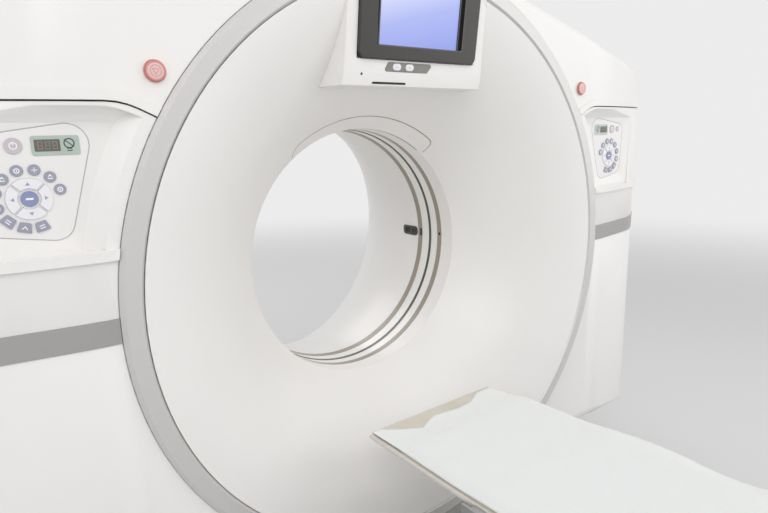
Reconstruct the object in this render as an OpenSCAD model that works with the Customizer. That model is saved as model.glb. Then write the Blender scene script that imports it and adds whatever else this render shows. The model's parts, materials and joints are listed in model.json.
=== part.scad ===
// Medical CT scanner: a tilting gantry with a rotating drum inside, and a patient table in front of it.
// Origin on the floor below the isocentre, +X to the right, +Y into the bore, +Z up, millimetres.

/* [Gantry size] */
// Height of the isocentre above the floor
iso_height = 1050; // [1040:1:1100]
// Half width of the covers at their widest
body_half = 1144; // [1130:1:1160]
// Half width of the covers at their bottom edge
bottom_half = 1065; // [1050:1:1080]
// Depth of the bottom edge below the isocentre
body_drop = 735; // [733:1:745]
// Height of the roof's ridge above the isocentre
crown_rise = 781; // [775:1:800]
// Distance from the middle to the line where the roof gets steeper
roof_break_x = 650; // [600:1:700]
// Height of that line above the isocentre
roof_break_z = 612; // [606:1:618]
// Radius of the roof's front and rear edges
roof_round = 30; // [24:1:34]
// Size of the slant along the lower edge of the front
foot_slant = 97; // [80:1:110]
// Height of the shoulders above the isocentre
shoulder_rise = 480; // [470:1:490]
// Distance from the scan plane to the front face of the covers
front_depth = 379; // [375:1:385]
// Distance from the scan plane to the rear face
rear_depth = 620; // [610:1:660]
// Wall of the moulded covers
wall = 5; // [4:0.5:6]
// Gap between neighbouring covers
seam = 3; // [2:0.5:4]

/* [Bore] */
// Radius of the patient bore
bore_r = 350; // [345:1:352]
// Outer radius of the dish, inside the trim ring
dish_r = 683; // [678:1:684]
// How far the dish stands in front of the cover face
dish_proud = 8; // [6:1:10]
// Depth of the bore's front lip behind the ring
lip_depth = 278; // [260:1:282]
// Slope of the dish at its rim
rim_slope = 0.25; // [0.2:0.01:0.3]
// Radius of the rear flare at the rear face
flare_r = 540; // [520:1:560]
// Front end of the scan window, from the scan plane
window_front = 57; // [55:1:60]
// Rear end of the scan window, from the scan plane
window_rear = 61; // [59:1:64]
// Width of the two pale bands of the bore
band_w = 20; // [16:1:24]
// Width of the dark band in the scan plane
centre_band_w = 10; // [6:1:12]
// Width of the crescent cover over the bore's lip
crescent_w = 32; // [26:1:36]
// Half angle of the crescent cover
crescent_angle = 36; // [32:1:38]
// Width of the silver trim ring
ring_w = 43; // [38:1:43]
// How far the trim ring stands in front of the cover face
ring_proud = 11; // [10:1:14]

/* [Side panels] */
// Height of the brow seam above the isocentre
brow_rise = 400; // [396:1:404]
// Height of the bead along the brow
bead_h = 20; // [14:1:24]
// Fall of the brow seam towards the trim ring
brow_dip = 70; // [60:1:80]
// Distance from the middle to the point where the brow seam starts to fall
brow_bend_x = 680; // [675:1:690]
// Height of the ledge below the control panels
ledge_rise = 148; // [140:1:152]
// Thickness of the ledge's rounded nose
ledge_h = 20; // [14:1:24]
// Depth of the control panel recess behind the cover face
recess_depth = 29; // [26:1:32]
// Distance from the covers' widest point to the outer end of the control panel recess
recess_margin = 65; // [55:1:80]
// Height at which the recess's slanted ceiling meets its floor
ceiling_rise = 366; // [360:1:370]
// Height of the side bands
band_h = 47; // [40:1:52]
// Rise of the side bands' upper edge above the isocentre
band_top = 22; // [18:1:26]
// How far the key pad's centre lies inwards from the middle of the space beside the ring
pad_shift = 8; // [4:1:12]
// Height of the key pad's centre above the isocentre
pad_z = 244; // [240:1:248]
// Outer radius of the four arrow keys
pad_r = 34; // [32:0.5:35]
// Radius of the circle that the round keys lie on
key_circle_r = 48; // [47:0.5:50]
// Diameter of a round key
key_d = 18; // [16:0.5:19]
// How far a key travels
key_travel = 1.5; // [1:0.1:2]
// Thickness of a control panel
panel_t = 6; // [5.5:0.1:7]
// Distance of an emergency stop from the middle
estop_x = 621; // [615:1:630]
// Height of an emergency stop above the isocentre
estop_z = 451; // [448:1:458]
// Diameter of an emergency stop
estop_d = 34; // [32:0.5:38]

/* [Display] */
// Width of the display bezel
bezel_w = 359; // [350:1:366]
// Height of the display bezel
bezel_h = 216; // [212:1:220]
// Height of the bezel's lower edge above the isocentre
bezel_rise = 499; // [496:1:503]
// Width of the screen
screen_w = 254; // [246:1:262]
// Height of the screen
screen_h = 160; // [154:1:164]
// Forward lean of the display
display_lean = 8; // [6:0.5:9]
// Width of the console body behind the bezel
console_w = 386; // [380:1:392]

/* [Drum] */
// Outer radius of the rotating drum
drum_r = 690; // [685:1:695]
// Inner radius of the drum's sleeve
sleeve_r = 412; // [410:1:416]
// Wall of the drum's sleeve
sleeve_wall = 12; // [10:1:14]
// Thickness of the drum's plate
plate_t = 30; // [26:1:34]
// Front face of the drum's plate, behind the scan plane
plate_y = 60; // [60:1:64]
// Radius from the isocentre to the focal spot
focus_r = 541; // [536:1:546]
// Radius from the isocentre to the middle of the detector
detector_r = 408; // [404:1:414]
// Fan angle of the detector
fan_angle = 54; // [50:1:56]
// Radius of the tube housing
tube_r = 98; // [90:1:100]
// Length of the tube housing
tube_len = 295; // [270:1:300]

/* [Stand] */
// Half width between the outer faces of the stand's arms
arm_out = 870; // [868:1:880]
// Thickness of each arm
arm_t = 70; // [60:1:72]
// Radius of the trunnion shafts
trunnion_r = 45; // [40:1:50]
// Height of the stand's floor rails
rail_h = 120; // [100:1:130]
// Width between the anchor holes, side to side
anchor_x = 1540; // [1530:1:1550]
// Distance between the anchor holes, front to rear
anchor_y = 560; // [540:1:580]
// Front end of the floor rails, from the scan plane
rail_front = 330; // [325:1:335]
// Rear end of the floor rails, from the scan plane
rail_rear = 540; // [530:1:560]
// Radius of the anchor holes
anchor_r = 9; // [7:0.5:11]
// Width between the table's anchor holes, side to side
table_anchor_x = 510; // [500:1:520]
// Distance between the table's anchor holes along the table
table_anchor_y = 1400; // [1380:1:1420]

/* [Table] */
// Height of the cradle's rim above the floor
rim_height = 674; // [670:1:680]
// Gap between the trim ring and the cradle's end
cradle_gap = 13; // [10:1:40]
// Length of the cradle
cradle_len = 2250; // [2100:1:2300]
// Half width of the cradle
cradle_half = 210; // [200:1:215]
// Depth of the cradle's shell
cradle_depth = 62; // [56:1:64]
// Hollow of the cradle's upper face
cradle_hollow = 18; // [14:1:22]
// Height of the mattress above the rim
mattress_rise = 14; // [10:1:18]
// Thickness of the sheet
sheet_t = 3; // [2:0.5:4]
// Length of the lift arms between their pins
lift_len = 800; // [780:1:820]
// Height of the lift's lower pins
lower_pin_z = 140; // [135:1:145]
// Height of the lift's upper pins above the lower ones at rest
lift_rise = 320; // [310:1:325]
// Distance of the front lower pin from the scan plane
front_pin_y = 800; // [790:1:820]
// Distance between the front and rear pins
pin_spacing = 700; // [680:1:710]
// Radius of the lift's pins
pin_r = 16; // [14:1:18]
// Running clearance around shafts and pins
running = 0.05; // [0.03:0.01:0.08]
// Clearance beside parts that slide or lie close
slip = 0.3; // [0.3:0.05:0.5]

/* [Hidden] */
$fn = 96;

// Outlines. A corner is [x, y, radius], and an outline runs anticlockwise.
function unit(v) = v / norm(v);
function left_of(v) = [-v[1], v[0]];
function xy(c) = [c[0], c[1]];
function turn(u, v) = u[0] * v[1] - u[1] * v[0];
function crossing(p, u, q, v) = p + u * turn(q - p, v) / turn(u, v);
function inset_corner(a, b, c, d) =
    let (u = unit(xy(b) - xy(a)), v = unit(xy(c) - xy(b)))
    let (p = crossing(xy(b) + left_of(u) * d, u, xy(b) + left_of(v) * d, v))
    [p[0], p[1], b[2] == 0 ? 0 : max(b[2] - (turn(u, v) > 0 ? d : -d), 0)];
function inset(o, d) =
    [for (i = [0:len(o) - 1]) inset_corner(o[(i + len(o) - 1) % len(o)], o[i], o[(i + 1) % len(o)], d)];
function arc(centre, r, from, to, steps) =
    [for (i = [0:steps]) let (a = from + (to - from) * i / steps) centre + r * [cos(a), sin(a)]];
function corner_points(a, b, c, step) = b[2] <= 0 ? [xy(b)] :
    let (u = unit(xy(a) - xy(b)), v = unit(xy(c) - xy(b)), half = acos(u * v) / 2)
    let (centre = xy(b) + unit(u + v) * b[2] / sin(half))
    let (s = xy(b) + u * b[2] / tan(half) - centre, e = xy(b) + v * b[2] / tan(half) - centre)
    let (from = atan2(s[1], s[0]), sweep = atan2(turn(s, e), s * e))
    arc(centre, b[2], from, from + sweep, max(1, ceil(abs(sweep) / min(step, 2500 / b[2]))));
function rounded(o, step = 12) =
    [for (i = [0:len(o) - 1])
        each corner_points(o[(i + len(o) - 1) % len(o)], o[i], o[(i + 1) % len(o)], step)];
function box_outline(x0, z0, x1, z1, r) = [[x0, z0, r], [x1, z0, r], [x1, z1, r], [x0, z1, r]];

// Placing. The gantry's pieces are drawn about the isocentre.
module at_iso() { translate([0, 0, iso_height]) children(); }
module about_bore() { rotate([-90, 0, 0]) rotate_extrude() children(); }
module along_y(y0, y1) { translate([0, y1, 0]) rotate([90, 0, 0]) linear_extrude(y1 - y0) children(); }
module along_x(x0, x1) { translate([x0, 0, 0]) rotate([90, 0, 90]) linear_extrude(x1 - x0) children(); }
module block(lo, hi) { translate(lo) cube(hi - lo); }
module rod_y(x, z, r, y0, y1) { translate([x, y0, z]) rotate([-90, 0, 0]) cylinder(r = r, h = y1 - y0); }
module rod_x(y, z, r, x0, x1) { translate([x0, y, z]) rotate([0, 90, 0]) cylinder(r = r, h = x1 - x0); }
module both_sides() { children(); mirror([1, 0, 0]) children(); }

// Places worked out from the driving sizes
beyond = 1300;
face_y = -front_depth;
ring_out = dish_r + ring_w;
ring_y = face_y - ring_proud;
ring_back_y = face_y + recess_depth + wall + 5;
dish_y = face_y - dish_proud;
dish_span = dish_r - bore_r;
dish_curve = (lip_depth - rim_slope * dish_span) / pow(dish_span, 2);
function dish_depth(r) = rim_slope * (dish_r - r) + dish_curve * pow(dish_r - r, 2);
function dish_at(r) = dish_y + dish_depth(r);
crescent_r = bore_r + crescent_w;
flare_span = rear_depth - window_rear;
function flare_radius(y) = bore_r + (flare_r - bore_r) * pow((y - window_rear) / flare_span, 2);
side_y = -265;
cover_split_y = rear_depth - 60;
recess_y = face_y + recess_depth;
brow_half = body_half - 42;
shoulder_half = body_half - 59;
body_outline = [[bottom_half, -body_drop, 60], [body_half, -20, 900], [brow_half, brow_rise, 300],
    [shoulder_half, shoulder_rise, 110], [roof_break_x, roof_break_z, 1500], [0, crown_rise, 400],
    [-roof_break_x, roof_break_z, 1500], [-shoulder_half, shoulder_rise, 110],
    [-brow_half, brow_rise, 300], [-body_half, -20, 900], [-bottom_half, -body_drop, 60]];
side_outline = [[face_y + foot_slant, -body_drop, 60], [rear_depth, -body_drop, 60], [rear_depth, beyond, 0],
    [face_y, beyond, 0], [face_y, foot_slant - body_drop, 60]];
roof_outline = [[face_y, -2 * beyond, 0], [rear_depth, -2 * beyond, 0], [rear_depth, 0, roof_round],
    [face_y, 0, roof_round]];
hair = 0.02;
face_half = body_half - 384;
cheek_half = body_half - 144;
ramp_in = ring_out + 23;
ramp_out = ramp_in + 31;
groove_w = 1.8;
console_front = dish_y + 27;
console_low = 441;
console_bend = 468;
console_top = 722;
recess_end = body_half - recess_margin;
brow_end_x = 540;
brow_bend_r = 120;
pad_x = (sqrt(pow(ring_out, 2) - pow(pad_z, 2)) + cheek_half) / 2 - pad_shift;
plan_outline = [[-face_half, face_y, 700], [face_half, face_y, 700], [cheek_half, face_y + 35, 300],
    [body_half, side_y, 60], [body_half, rear_depth - 80, 60], [body_half - 80, rear_depth, 60],
    [80 - body_half, rear_depth, 60], [-body_half, rear_depth - 80, 60], [-body_half, side_y, 60],
    [-cheek_half, face_y + 35, 300]];
trunnion_out = arm_out + 30;
arm_in = arm_out - arm_t;
bracket_in = drum_r + 15;
frame_y = 150;
frame_t = 80;
frame_out = 715;
race_out = 520;
race_in = sleeve_r + sleeve_wall;
race_split = race_in + 34;
sleeve_end = 330;
ring_disc_y = 300;
pulley_y = plate_y + plate_t + 5;
pulley_w = 30;
belt_r = 600;
belt_t = 4;
belt_gap = 0.5;
motor_angle = -45;
motor_dist = 700;
motor_r = 68;
small_pulley_r = 34;
sleeve_flange_r = sleeve_r + 50;
band_t = 1.15;
shaft_r = 12;
slip_ring_out = 605;
tube_z = focus_r + 30;
collimator_top = focus_r - 76;
rail_in = anchor_x / 2 - 30;
rail_out = arm_out + 25;
duct_half = 90;
duct_h = 28;
cradle_end_y = ring_y - cradle_gap;
cradle_tail_y = cradle_end_y - cradle_len;
lift_run = sqrt(pow(lift_len, 2) - pow(lift_rise, 2));
upper_pin_z = lower_pin_z + lift_rise;
upper_pin_y = front_pin_y + lift_run;
frame_top_z = rim_height - cradle_depth - 22;
frame_bottom_z = frame_top_z - 70;
table_front_y = -727;
table_rear_y = -2700;
tub_half = 300;
tub_corner = 60;
tub_top = 255;
tub_front_y = -655;
tub_rear_y = -2380;
tub_middle_y = (tub_front_y + tub_rear_y) / 2;
skirt_in = 312;
front_arm_in = 170;
rear_arm_in = 104;
skirt_bottom = 300;
end_plate_z = 512;
flap_start_y = -700;
flap_w = 80;
estop_stem_r = 8;
screen_rise = 31;
bezel_outline = box_outline(-bezel_w / 2, 0, bezel_w / 2, bezel_h, 18);
keypad_outline = [[-102, -25, 4], [26, -25, 4], [42, -6, 4], [-91, -6, 4]];
key_back = 2.5;
ramp_start = 50;
ramp_end = 110;
pedal_x = 170;
pedal_z = 44;
pedal_out = 22;
pedal_pin_r = 7;

// All that lies under one slope of the roof, d inside it, with the roof's front and rear edges rounded
module under_roof(x, z, fall, d) {
    translate([x, 0, z]) rotate([0, fall, 0]) along_x(-2 * beyond, 2 * beyond)
        polygon(rounded(inset(roof_outline, d - hair)));
}
// The covers' outer form, or with d the form that lies d inside it
module body_shape(d = 0) {
    inner_fall = atan2(crown_rise - roof_break_z, roof_break_x);
    outer_fall = atan2(roof_break_z - shoulder_rise, shoulder_half - roof_break_x);
    intersection() {
        along_y(face_y - 10, rear_depth + 10) polygon(rounded(inset(body_outline, d)));
        translate([0, 0, -body_drop - 10]) linear_extrude(body_drop + crown_rise + 20)
            polygon(rounded(inset(plan_outline, d)));
        along_x(-beyond, beyond) polygon(rounded(inset(side_outline, d - hair)));
        under_roof(0, crown_rise, inner_fall, d);
        mirror([1, 0, 0]) under_roof(0, crown_rise, inner_fall, d);
        under_roof(roof_break_x, roof_break_z, outer_fall, d);
        mirror([1, 0, 0]) under_roof(roof_break_x, roof_break_z, outer_fall, d);
    }
}

// The area above the brow seam, d higher. The seam dips towards the trim ring.
module brow_area(d) {
    b = brow_rise + d;
    polygon(rounded([[-beyond, b, 0], [-brow_bend_x, b, brow_bend_r], [-brow_end_x, b - brow_dip, 0],
        [brow_end_x, b - brow_dip, 0], [brow_bend_x, b, brow_bend_r], [beyond, b, 0],
        [beyond, beyond, 0], [-beyond, beyond, 0]]));
}

// The control panel recess, or with d the outside of its wall. Its ceiling slants up to a lip, and a
// ramp round the trim ring leads from the covers' face down to its floor.
module recess(d = 0) {
    top = brow_rise - 8;
    difference() {
        recess_box(top, d);
        about_bore() polygon([[0, face_y - 70], [ramp_in - 1.4 * d, face_y - 70], [ramp_in - 1.4 * d, face_y],
            [ramp_out - 0.4 * d, recess_y + d], [0, recess_y + d]]);
    }
    along_y(face_y - 60, recess_y + panel_t + slip + d) polygon(rounded(inset(panel_outline, -slip - d)));
}
module recess_box(top, d) {
    intersection() {
        along_y(face_y - 60, recess_y + d) polygon(rounded([[brow_end_x, ledge_rise - d, 0],
            [recess_end + d, ledge_rise - d, 40 + d], [recess_end + d, top + d, 40 + d],
            [brow_bend_x + 14, top + d, brow_bend_r], [brow_end_x, top - brow_dip + d, 0]]));
        along_x(500, beyond) polygon([[face_y - 61, 0], [recess_y + d, 0], [recess_y + d, ceiling_rise + d],
            [face_y + 8 + d, top + d], [face_y - 61, top + d + 1]]);
    }
}

module arm_slot() {
    block([arm_in - 20, face_y + 57, -body_drop - 5],
        [arm_out + 20, rear_depth - 150, 40 - body_drop]);
}

module shell() {
    difference() {
        body_shape();
        both_sides() recess();
        difference() {
            body_shape(wall);
            both_sides() recess(wall);
        }
        ring_hole();
        both_sides() arm_slot();
    }
}

// The hole round the trim ring, with a groove at its front edge
module ring_hole() {
    along_y(face_y - 60, ring_back_y + 1) circle(r = ring_out + slip);
    along_y(face_y - 60, face_y + 3) circle(r = ring_out + groove_w);
}

// The space that the display console takes out of the ring, the dish and the upper cover
module console_space(d = 0) {
    lean = tan(display_lean);
    intersection() {
        along_x(-400, 400) polygon([[console_front + 8 - d, console_low - d],
            [console_front - d, console_bend - d],
            [console_front - (console_top - console_bend) * lean - d, console_top + d],
            [face_y + 60, console_top + d], [face_y + 60, 600], [dish_at(480) + 40, console_low - d]]);
        translate([0, 0, 400]) linear_extrude(460)
            polygon([[-console_w / 2 - d, dish_y - 60], [console_w / 2 + d, dish_y - 60],
                [console_w / 2 + 40 + d, face_y + 110], [-console_w / 2 - 40 - d, face_y + 110]]);
    }
}

module on_console() {
    lean = tan(display_lean);
    translate([0, console_front - (bezel_rise - console_bend) * lean, bezel_rise])
        rotate([display_lean, 0, 0]) children();
}

// Covers
module front_dish() {
    steps = 18;
    front = [for (i = [0:steps]) let (r = dish_r - dish_span * i / steps) [r, dish_at(r)]];
    back = [for (i = [steps:-1:0]) let (r = dish_r - dish_span * i / steps)
        [min(r + wall * 1.1, dish_r), dish_at(r) + wall]];
    color("white") at_iso() difference() {
        about_bore()
            polygon(concat(front, [[bore_r, -window_front], [bore_r + wall, -window_front]], back));
        console_space(slip);
        crescent_space(slip);
    }
}

module trim_ring() {
    inner = dish_r + slip;
    color("silver") at_iso() difference() {
        about_bore() polygon([[inner, ring_back_y - 8], [inner, ring_y + 9], [inner + groove_w, ring_y + 9],
            [inner + groove_w, ring_y + 5], [inner + 6, ring_y],
            [ring_out - 8, ring_y], [ring_out, ring_y + 8], [ring_out, ring_back_y],
            [ring_out - wall, ring_back_y], [ring_out - wall, ring_y + 12],
            [inner + wall, ring_y + 14], [inner + wall, ring_back_y - 8]]);
        console_space(slip);
        on_console() along_y(-60, 0) polygon(rounded(inset(bezel_outline, -slip)));
    }
}

module upper_cover() {
    color("white") at_iso() difference() {
        union() {
            intersection() {
                shell();
                along_y(face_y - 60, cover_split_y - seam / 2) brow_area(seam / 2);
            }
            brow_bead();
            both_sides() rod_y(estop_x, estop_z, estop_d / 2 + 2.5, face_y - 3.5, face_y + 1);
        }
        both_sides() {
            rod_y(estop_x, estop_z, estop_d / 2 + slip, face_y - 7, face_y);
            rod_y(estop_x, estop_z, estop_stem_r + slip, face_y - 20, face_y + 20);
        }
        console_space(slip);
    }
}

// The rounded bead along the upper cover's front edge
module brow_bead() {
    difference() {
        intersection() {
            difference() {
                body_shape(-4);
                body_shape(12);
            }
            along_y(face_y - 60, side_y + 200) difference() {
                brow_area(seam / 2);
                brow_area(seam / 2 + bead_h);
            }
        }
        ring_hole();
    }
}

module lower_cover() {
    difference() {
        union() {
            intersection() {
                shell();
                difference() {
                    block([seam / 2, face_y - 60, -body_drop - 5],
                        [1200, cover_split_y - seam / 2, brow_rise + 5]);
                    along_y(face_y - 61, cover_split_y + 1) brow_area(-seam / 2);
                }
            }
            ledge_nose();
        }
        band_space(slip);
        ledge_groove();
    }
}

module ledge_nose() {
    intersection() {
        difference() {
            body_shape(-8);
            body_shape(2);
            ring_hole();
        }
        block([640, face_y - 60, ledge_rise - ledge_h], [beyond, side_y + 200, ledge_rise]);
    }
}
// The shadow line between the ledge's nose and the recess's floor
module ledge_groove() {
    intersection() {
        difference() {
            body_shape(1);
            body_shape(1 + groove_w);
        }
        block([ring_out, face_y - 60, ledge_rise - 3], [recess_end, side_y, ledge_rise + 1]);
    }
}

module band_space(d = 0) {
    difference() {
        intersection() {
            difference() {
                body_shape(-2);
                body_shape(2 + d);
            }
            block([640, face_y - 60, band_top - band_h - d], [beyond, 0, band_top + d]);
        }
        along_y(face_y - 60, ring_back_y + 1) circle(r = ring_out + 2 * slip - d);
    }
}

module left_lower_cover() { color("white") at_iso() mirror([1, 0, 0]) lower_cover(); }
module right_lower_cover() { color("white") at_iso() lower_cover(); }
module side_bands() {
    color("silver") at_iso() both_sides() intersection() {
        band_space();
        block([0, face_y - 60, -body_drop], [beyond, -2, body_drop]);
    }
}

module rear_flare() {
    steps = 14;
    inner = [for (i = [0:steps]) let (y = window_rear + flare_span * i / steps) [flare_radius(y), y]];
    outer = [for (i = [steps:-1:0]) let (y = window_rear + flare_span * i / steps)
        [flare_radius(y) + wall, y]];
    color("white") at_iso() about_bore() polygon(concat(inner, outer));
}

module rear_cover() {
    color("white") at_iso() difference() {
        intersection() {
            shell();
            block([-beyond, cover_split_y + seam / 2, -beyond], [beyond, rear_depth + 5, beyond]);
        }
        along_y(cover_split_y, rear_depth + 5) circle(r = flare_r + wall + slip);
    }
}

module scan_window() {
    color("whitesmoke") at_iso() about_bore() translate([bore_r + band_t + 0.05, slip - window_front])
        square([2.5, window_front + window_rear - 2 * slip]);
}

module bore_bands() {
    color("dimgray") at_iso() about_bore() {
        translate([bore_r, slip - window_front]) square([band_t, band_w]);
        translate([bore_r, -centre_band_w / 2]) square([band_t, centre_band_w]);
        translate([bore_r, window_rear - band_w - slip]) square([band_t, band_w]);
    }
}

// A thin layer between the surface that the curve function gives and a second one behind it
function ring_layer(r0, r1, steps, front, behind, shift) = concat(
    [for (i = [0:steps]) let (r = r0 + (r1 - r0) * i / steps) [r, dish_at(r) + front]],
    [for (i = [steps:-1:0]) let (r = r0 + (r1 - r0) * i / steps) [r + shift, dish_at(r) + behind]]);
module crescent_space(d = 0) {
    intersection() {
        along_y(dish_y, -window_front) intersection() {
            difference() {
                circle(r = crescent_r + d);
                circle(r = bore_r - 5);
            }
            polygon(concat([[0, 0]],
                arc([0, 0], crescent_r + 100, 90 - crescent_angle, 90 + crescent_angle, 6)));
        }
        about_bore() polygon(ring_layer(bore_r - 2, crescent_r + 2, 4, -3, 12, 8));
    }
}
module crescent_cover() {
    color("white") at_iso() intersection() {
        crescent_space();
        about_bore() polygon(ring_layer(bore_r, crescent_r, 6, 0, wall, wall));
    }
}

module bore_sensor() {
    start = window_rear + 2;
    span = 82;
    color("dimgray") at_iso() intersection() {
        along_x(bore_r - 3, bore_r + 20)
            polygon(rounded(box_outline(start + 1, -16, start + span - 1, 16, 12)));
        about_bore() polygon(concat(
            [for (i = [0:4]) let (y = start + span * i / 4) [flare_radius(y) - 2.8, y]],
            [for (i = [4:-1:0]) let (y = start + span * i / 4) [flare_radius(y) - 2 * slip, y]]));
    }
}

// Control panels, drawn for the right side, flush with the recess's floor
panel_y = recess_y;
panel_outline = [[pad_x - 54, pad_z - 78, 30], [pad_x + 66, pad_z - 57, 28],
    [pad_x + 76, pad_z + 101, 30], [pad_x - 114, pad_z + 129, 35]];
function on_circle(angle) = [pad_x + key_circle_r * cos(angle), pad_z + key_circle_r * sin(angle)];
module on_panel(x, z, y0, y1) {
    translate([x, y1, z]) rotate([90, 0, 0]) linear_extrude(y1 - y0) children();
}
module pad_sector(quarter, d = 0) {
    gap = 3.2 - 2 * d;
    intersection() {
        difference() { circle(r = pad_r + d); circle(r = 17 - d); }
        rotate(quarter * 90 + 45) translate([gap / 2, gap / 2]) square(60);
    }
}
module panel() {
    difference() {
        union() {
            along_y(panel_y, panel_y + panel_t) polygon(rounded(panel_outline));
            for (k = [0:6]) let (c = on_circle(165 - 30 * k))
                rod_y(c[0], c[1], key_d / 2, panel_y - 1.5, panel_y + 1);
            for (k = [0:2]) on_panel(pad_x, pad_z, panel_y - 1.5, panel_y + 1) rotate(-45 - 30 * k)
                polygon([[40, -8], [56, -11], [56, 11], [40, 8]]);
            rod_y(pad_x, pad_z, 12, panel_y - 2.5, panel_y + 1);
            rod_y(pad_x + 12, pad_z + 86, 12.5, panel_y - 2, panel_y + 1);
            rod_y(pad_x + 44, pad_z + 86, 8, panel_y - 2, panel_y + 1);
        }
        for (q = [0:3]) on_panel(pad_x, pad_z, panel_y - 3, panel_y + key_back + key_travel + slip)
            pad_sector(q, slip);
    }
}
module left_panel() { color("whitesmoke") at_iso() mirror([1, 0, 0]) panel(); }
module right_panel() { color("whitesmoke") at_iso() panel(); }
module panel_displays() {
    color("lightgray") at_iso() both_sides() along_y(panel_y - 1.5, panel_y - slip / 2)
        polygon(rounded(box_outline(pad_x - 85, pad_z + 69, pad_x - 13, pad_z + 101, 4)));
}
module pad_key(quarter) { on_panel(pad_x, pad_z, panel_y - 3, panel_y + key_back) pad_sector(quarter); }
module left_key_up() { color("gainsboro") at_iso() mirror([1, 0, 0]) pad_key(0); }
module left_key_in() { color("gainsboro") at_iso() mirror([1, 0, 0]) pad_key(1); }
module left_key_down() { color("gainsboro") at_iso() mirror([1, 0, 0]) pad_key(2); }
module left_key_out() { color("gainsboro") at_iso() mirror([1, 0, 0]) pad_key(3); }
module right_key_up() { color("gainsboro") at_iso() pad_key(0); }
module right_key_in() { color("gainsboro") at_iso() pad_key(1); }
module right_key_down() { color("gainsboro") at_iso() pad_key(2); }
module right_key_out() { color("gainsboro") at_iso() pad_key(3); }
module estop() {
    rod_y(estop_x, estop_z, estop_d / 2, face_y - 8.5, face_y - 4.5);
    rod_y(estop_x, estop_z, estop_stem_r, face_y - 5, face_y + 16);
}
module left_estop() { color("lightcoral") at_iso() mirror([1, 0, 0]) estop(); }
module right_estop() { color("lightcoral") at_iso() estop(); }

// Display console
module console_housing() {
    color("white") at_iso() difference() {
        console_space();
        on_console()
            block([-bezel_w / 2 - slip, -20, -slip], [bezel_w / 2 + slip, 12 + slip, bezel_h + slip]);
        on_console() along_y(-20, 3) polygon(rounded(inset(keypad_outline, -slip)));
        intersection() {
            block([-150, dish_y + 40, 470], [150, face_y + 54, console_top - 8]);
            on_console() block([-150, 22, -60], [150, 90, 270]);
        }
    }
}
module display_bezel() {
    color("dimgray") at_iso() on_console() difference() {
        along_y(-8, 12) polygon(rounded(bezel_outline));
        block([-screen_w / 2, -9, screen_rise], [screen_w / 2, 4, screen_rise + screen_h]);
    }
}
module display_screen() {
    color("lightsteelblue") at_iso() on_console()
        block([-screen_w / 2 + slip, 1, screen_rise + slip],
            [screen_w / 2 - slip, 4 - slip / 2, screen_rise + screen_h - slip]);
}
module console_keypad() {
    color("gray") at_iso() on_console() union() {
        along_y(-1.5, 3 - slip) polygon(rounded(keypad_outline));
        for (x = [-68, -30]) rod_y(x, -15, 6, -3, 0);
    }
}

// Stand, fixed to the floor
module arm_plate() {
    along_x(arm_in, arm_out) difference() {
        union() {
            circle(r = 95);
            polygon([[-75, 0], [75, 0], [250, -body_drop], [330, rail_h - iso_height - 2],
                [125, rail_h - iso_height - 2], [115, -body_drop]]);
        }
        circle(r = trunnion_r + running);
    }
}
module gantry_base() {
    color("slategray") union() {
        difference() {
            union() {
                both_sides() block([rail_in, -rail_front, 0], [rail_out, rail_rear, rail_h]);
                block([-rail_in - 1, -rail_front, 0], [rail_in + 1, 80 - rail_front, rail_h - 20]);
                block([-rail_in - 1, rail_rear - 80, 0], [rail_in + 1, rail_rear, rail_h - 20]);
            }
            for (x = [-1, 1], y = [-1, 1]) translate([x * anchor_x / 2, y * anchor_y / 2, -1])
                cylinder(r = anchor_r, h = rail_h + 2);
        }
        both_sides() at_iso() arm_plate();
    }
}
module plinth_cover() {
    half = rail_out + slip;
    color("lightgray") difference() {
        block([-half - wall, -rail_front - slip - wall, 4],
            [half + wall, rail_rear + slip + wall, rail_h + slip + wall]);
        block([-half, -rail_front - slip, -1], [half, rail_rear + slip, rail_h + slip]);
        both_sides() block([arm_in - 5, 100, rail_h - 10], [arm_out + 5, 345, rail_h + 50]);
        block([-duct_half - 2, -rail_front - 20, 0], [duct_half + 2, 0, duct_h + 4]);
    }
}
module tilt_gear_unit() {
    color("gray") at_iso() mirror([1, 0, 0]) difference() {
        union() {
            block([arm_out, -110, -130], [arm_out + 90, 110, 110]);
            rod_x(0, 0, 80, arm_out + 80, arm_out + 110);
            rod_y(arm_out + 50, -70, 45, 100, 330);
        }
        rod_x(0, 0, trunnion_r + slip, arm_out - 5, trunnion_out + 5);
    }
}
module floor_duct() {
    color("lightgray") difference() {
        block([-duct_half, tub_front_y, 0], [duct_half, -rail_front - slip, duct_h]);
        block([4 - duct_half, tub_front_y + 4, -1], [duct_half - 4, -rail_front - slip - 4, duct_h - 4]);
    }
}

// Tilting frame and what it carries
module tilt_frame() {
    color("slategray") at_iso() difference() {
        union() {
            about_bore() translate([race_out, frame_y]) square([frame_out - race_out, frame_t]);
            both_sides() {
                block([bracket_in, -90, -110], [arm_in - 8, frame_y + frame_t, 110]);
                rod_x(0, 0, trunnion_r, arm_in - 10, trunnion_out);
            }
            intersection() {
                cover_brackets();
                body_shape(wall + slip);
            }
            rotate([0, -motor_angle, 0]) block([600, frame_y + 30, -90], [790, frame_y + frame_t, 90]);
        }
        rotate([0, -motor_angle, 0]) rod_y(motor_dist, 0, 22, frame_y - 10, frame_y + frame_t + 10);
        along_y(frame_y - 10, frame_y + frame_t + 10) circle(r = race_out);
    }
}
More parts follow.
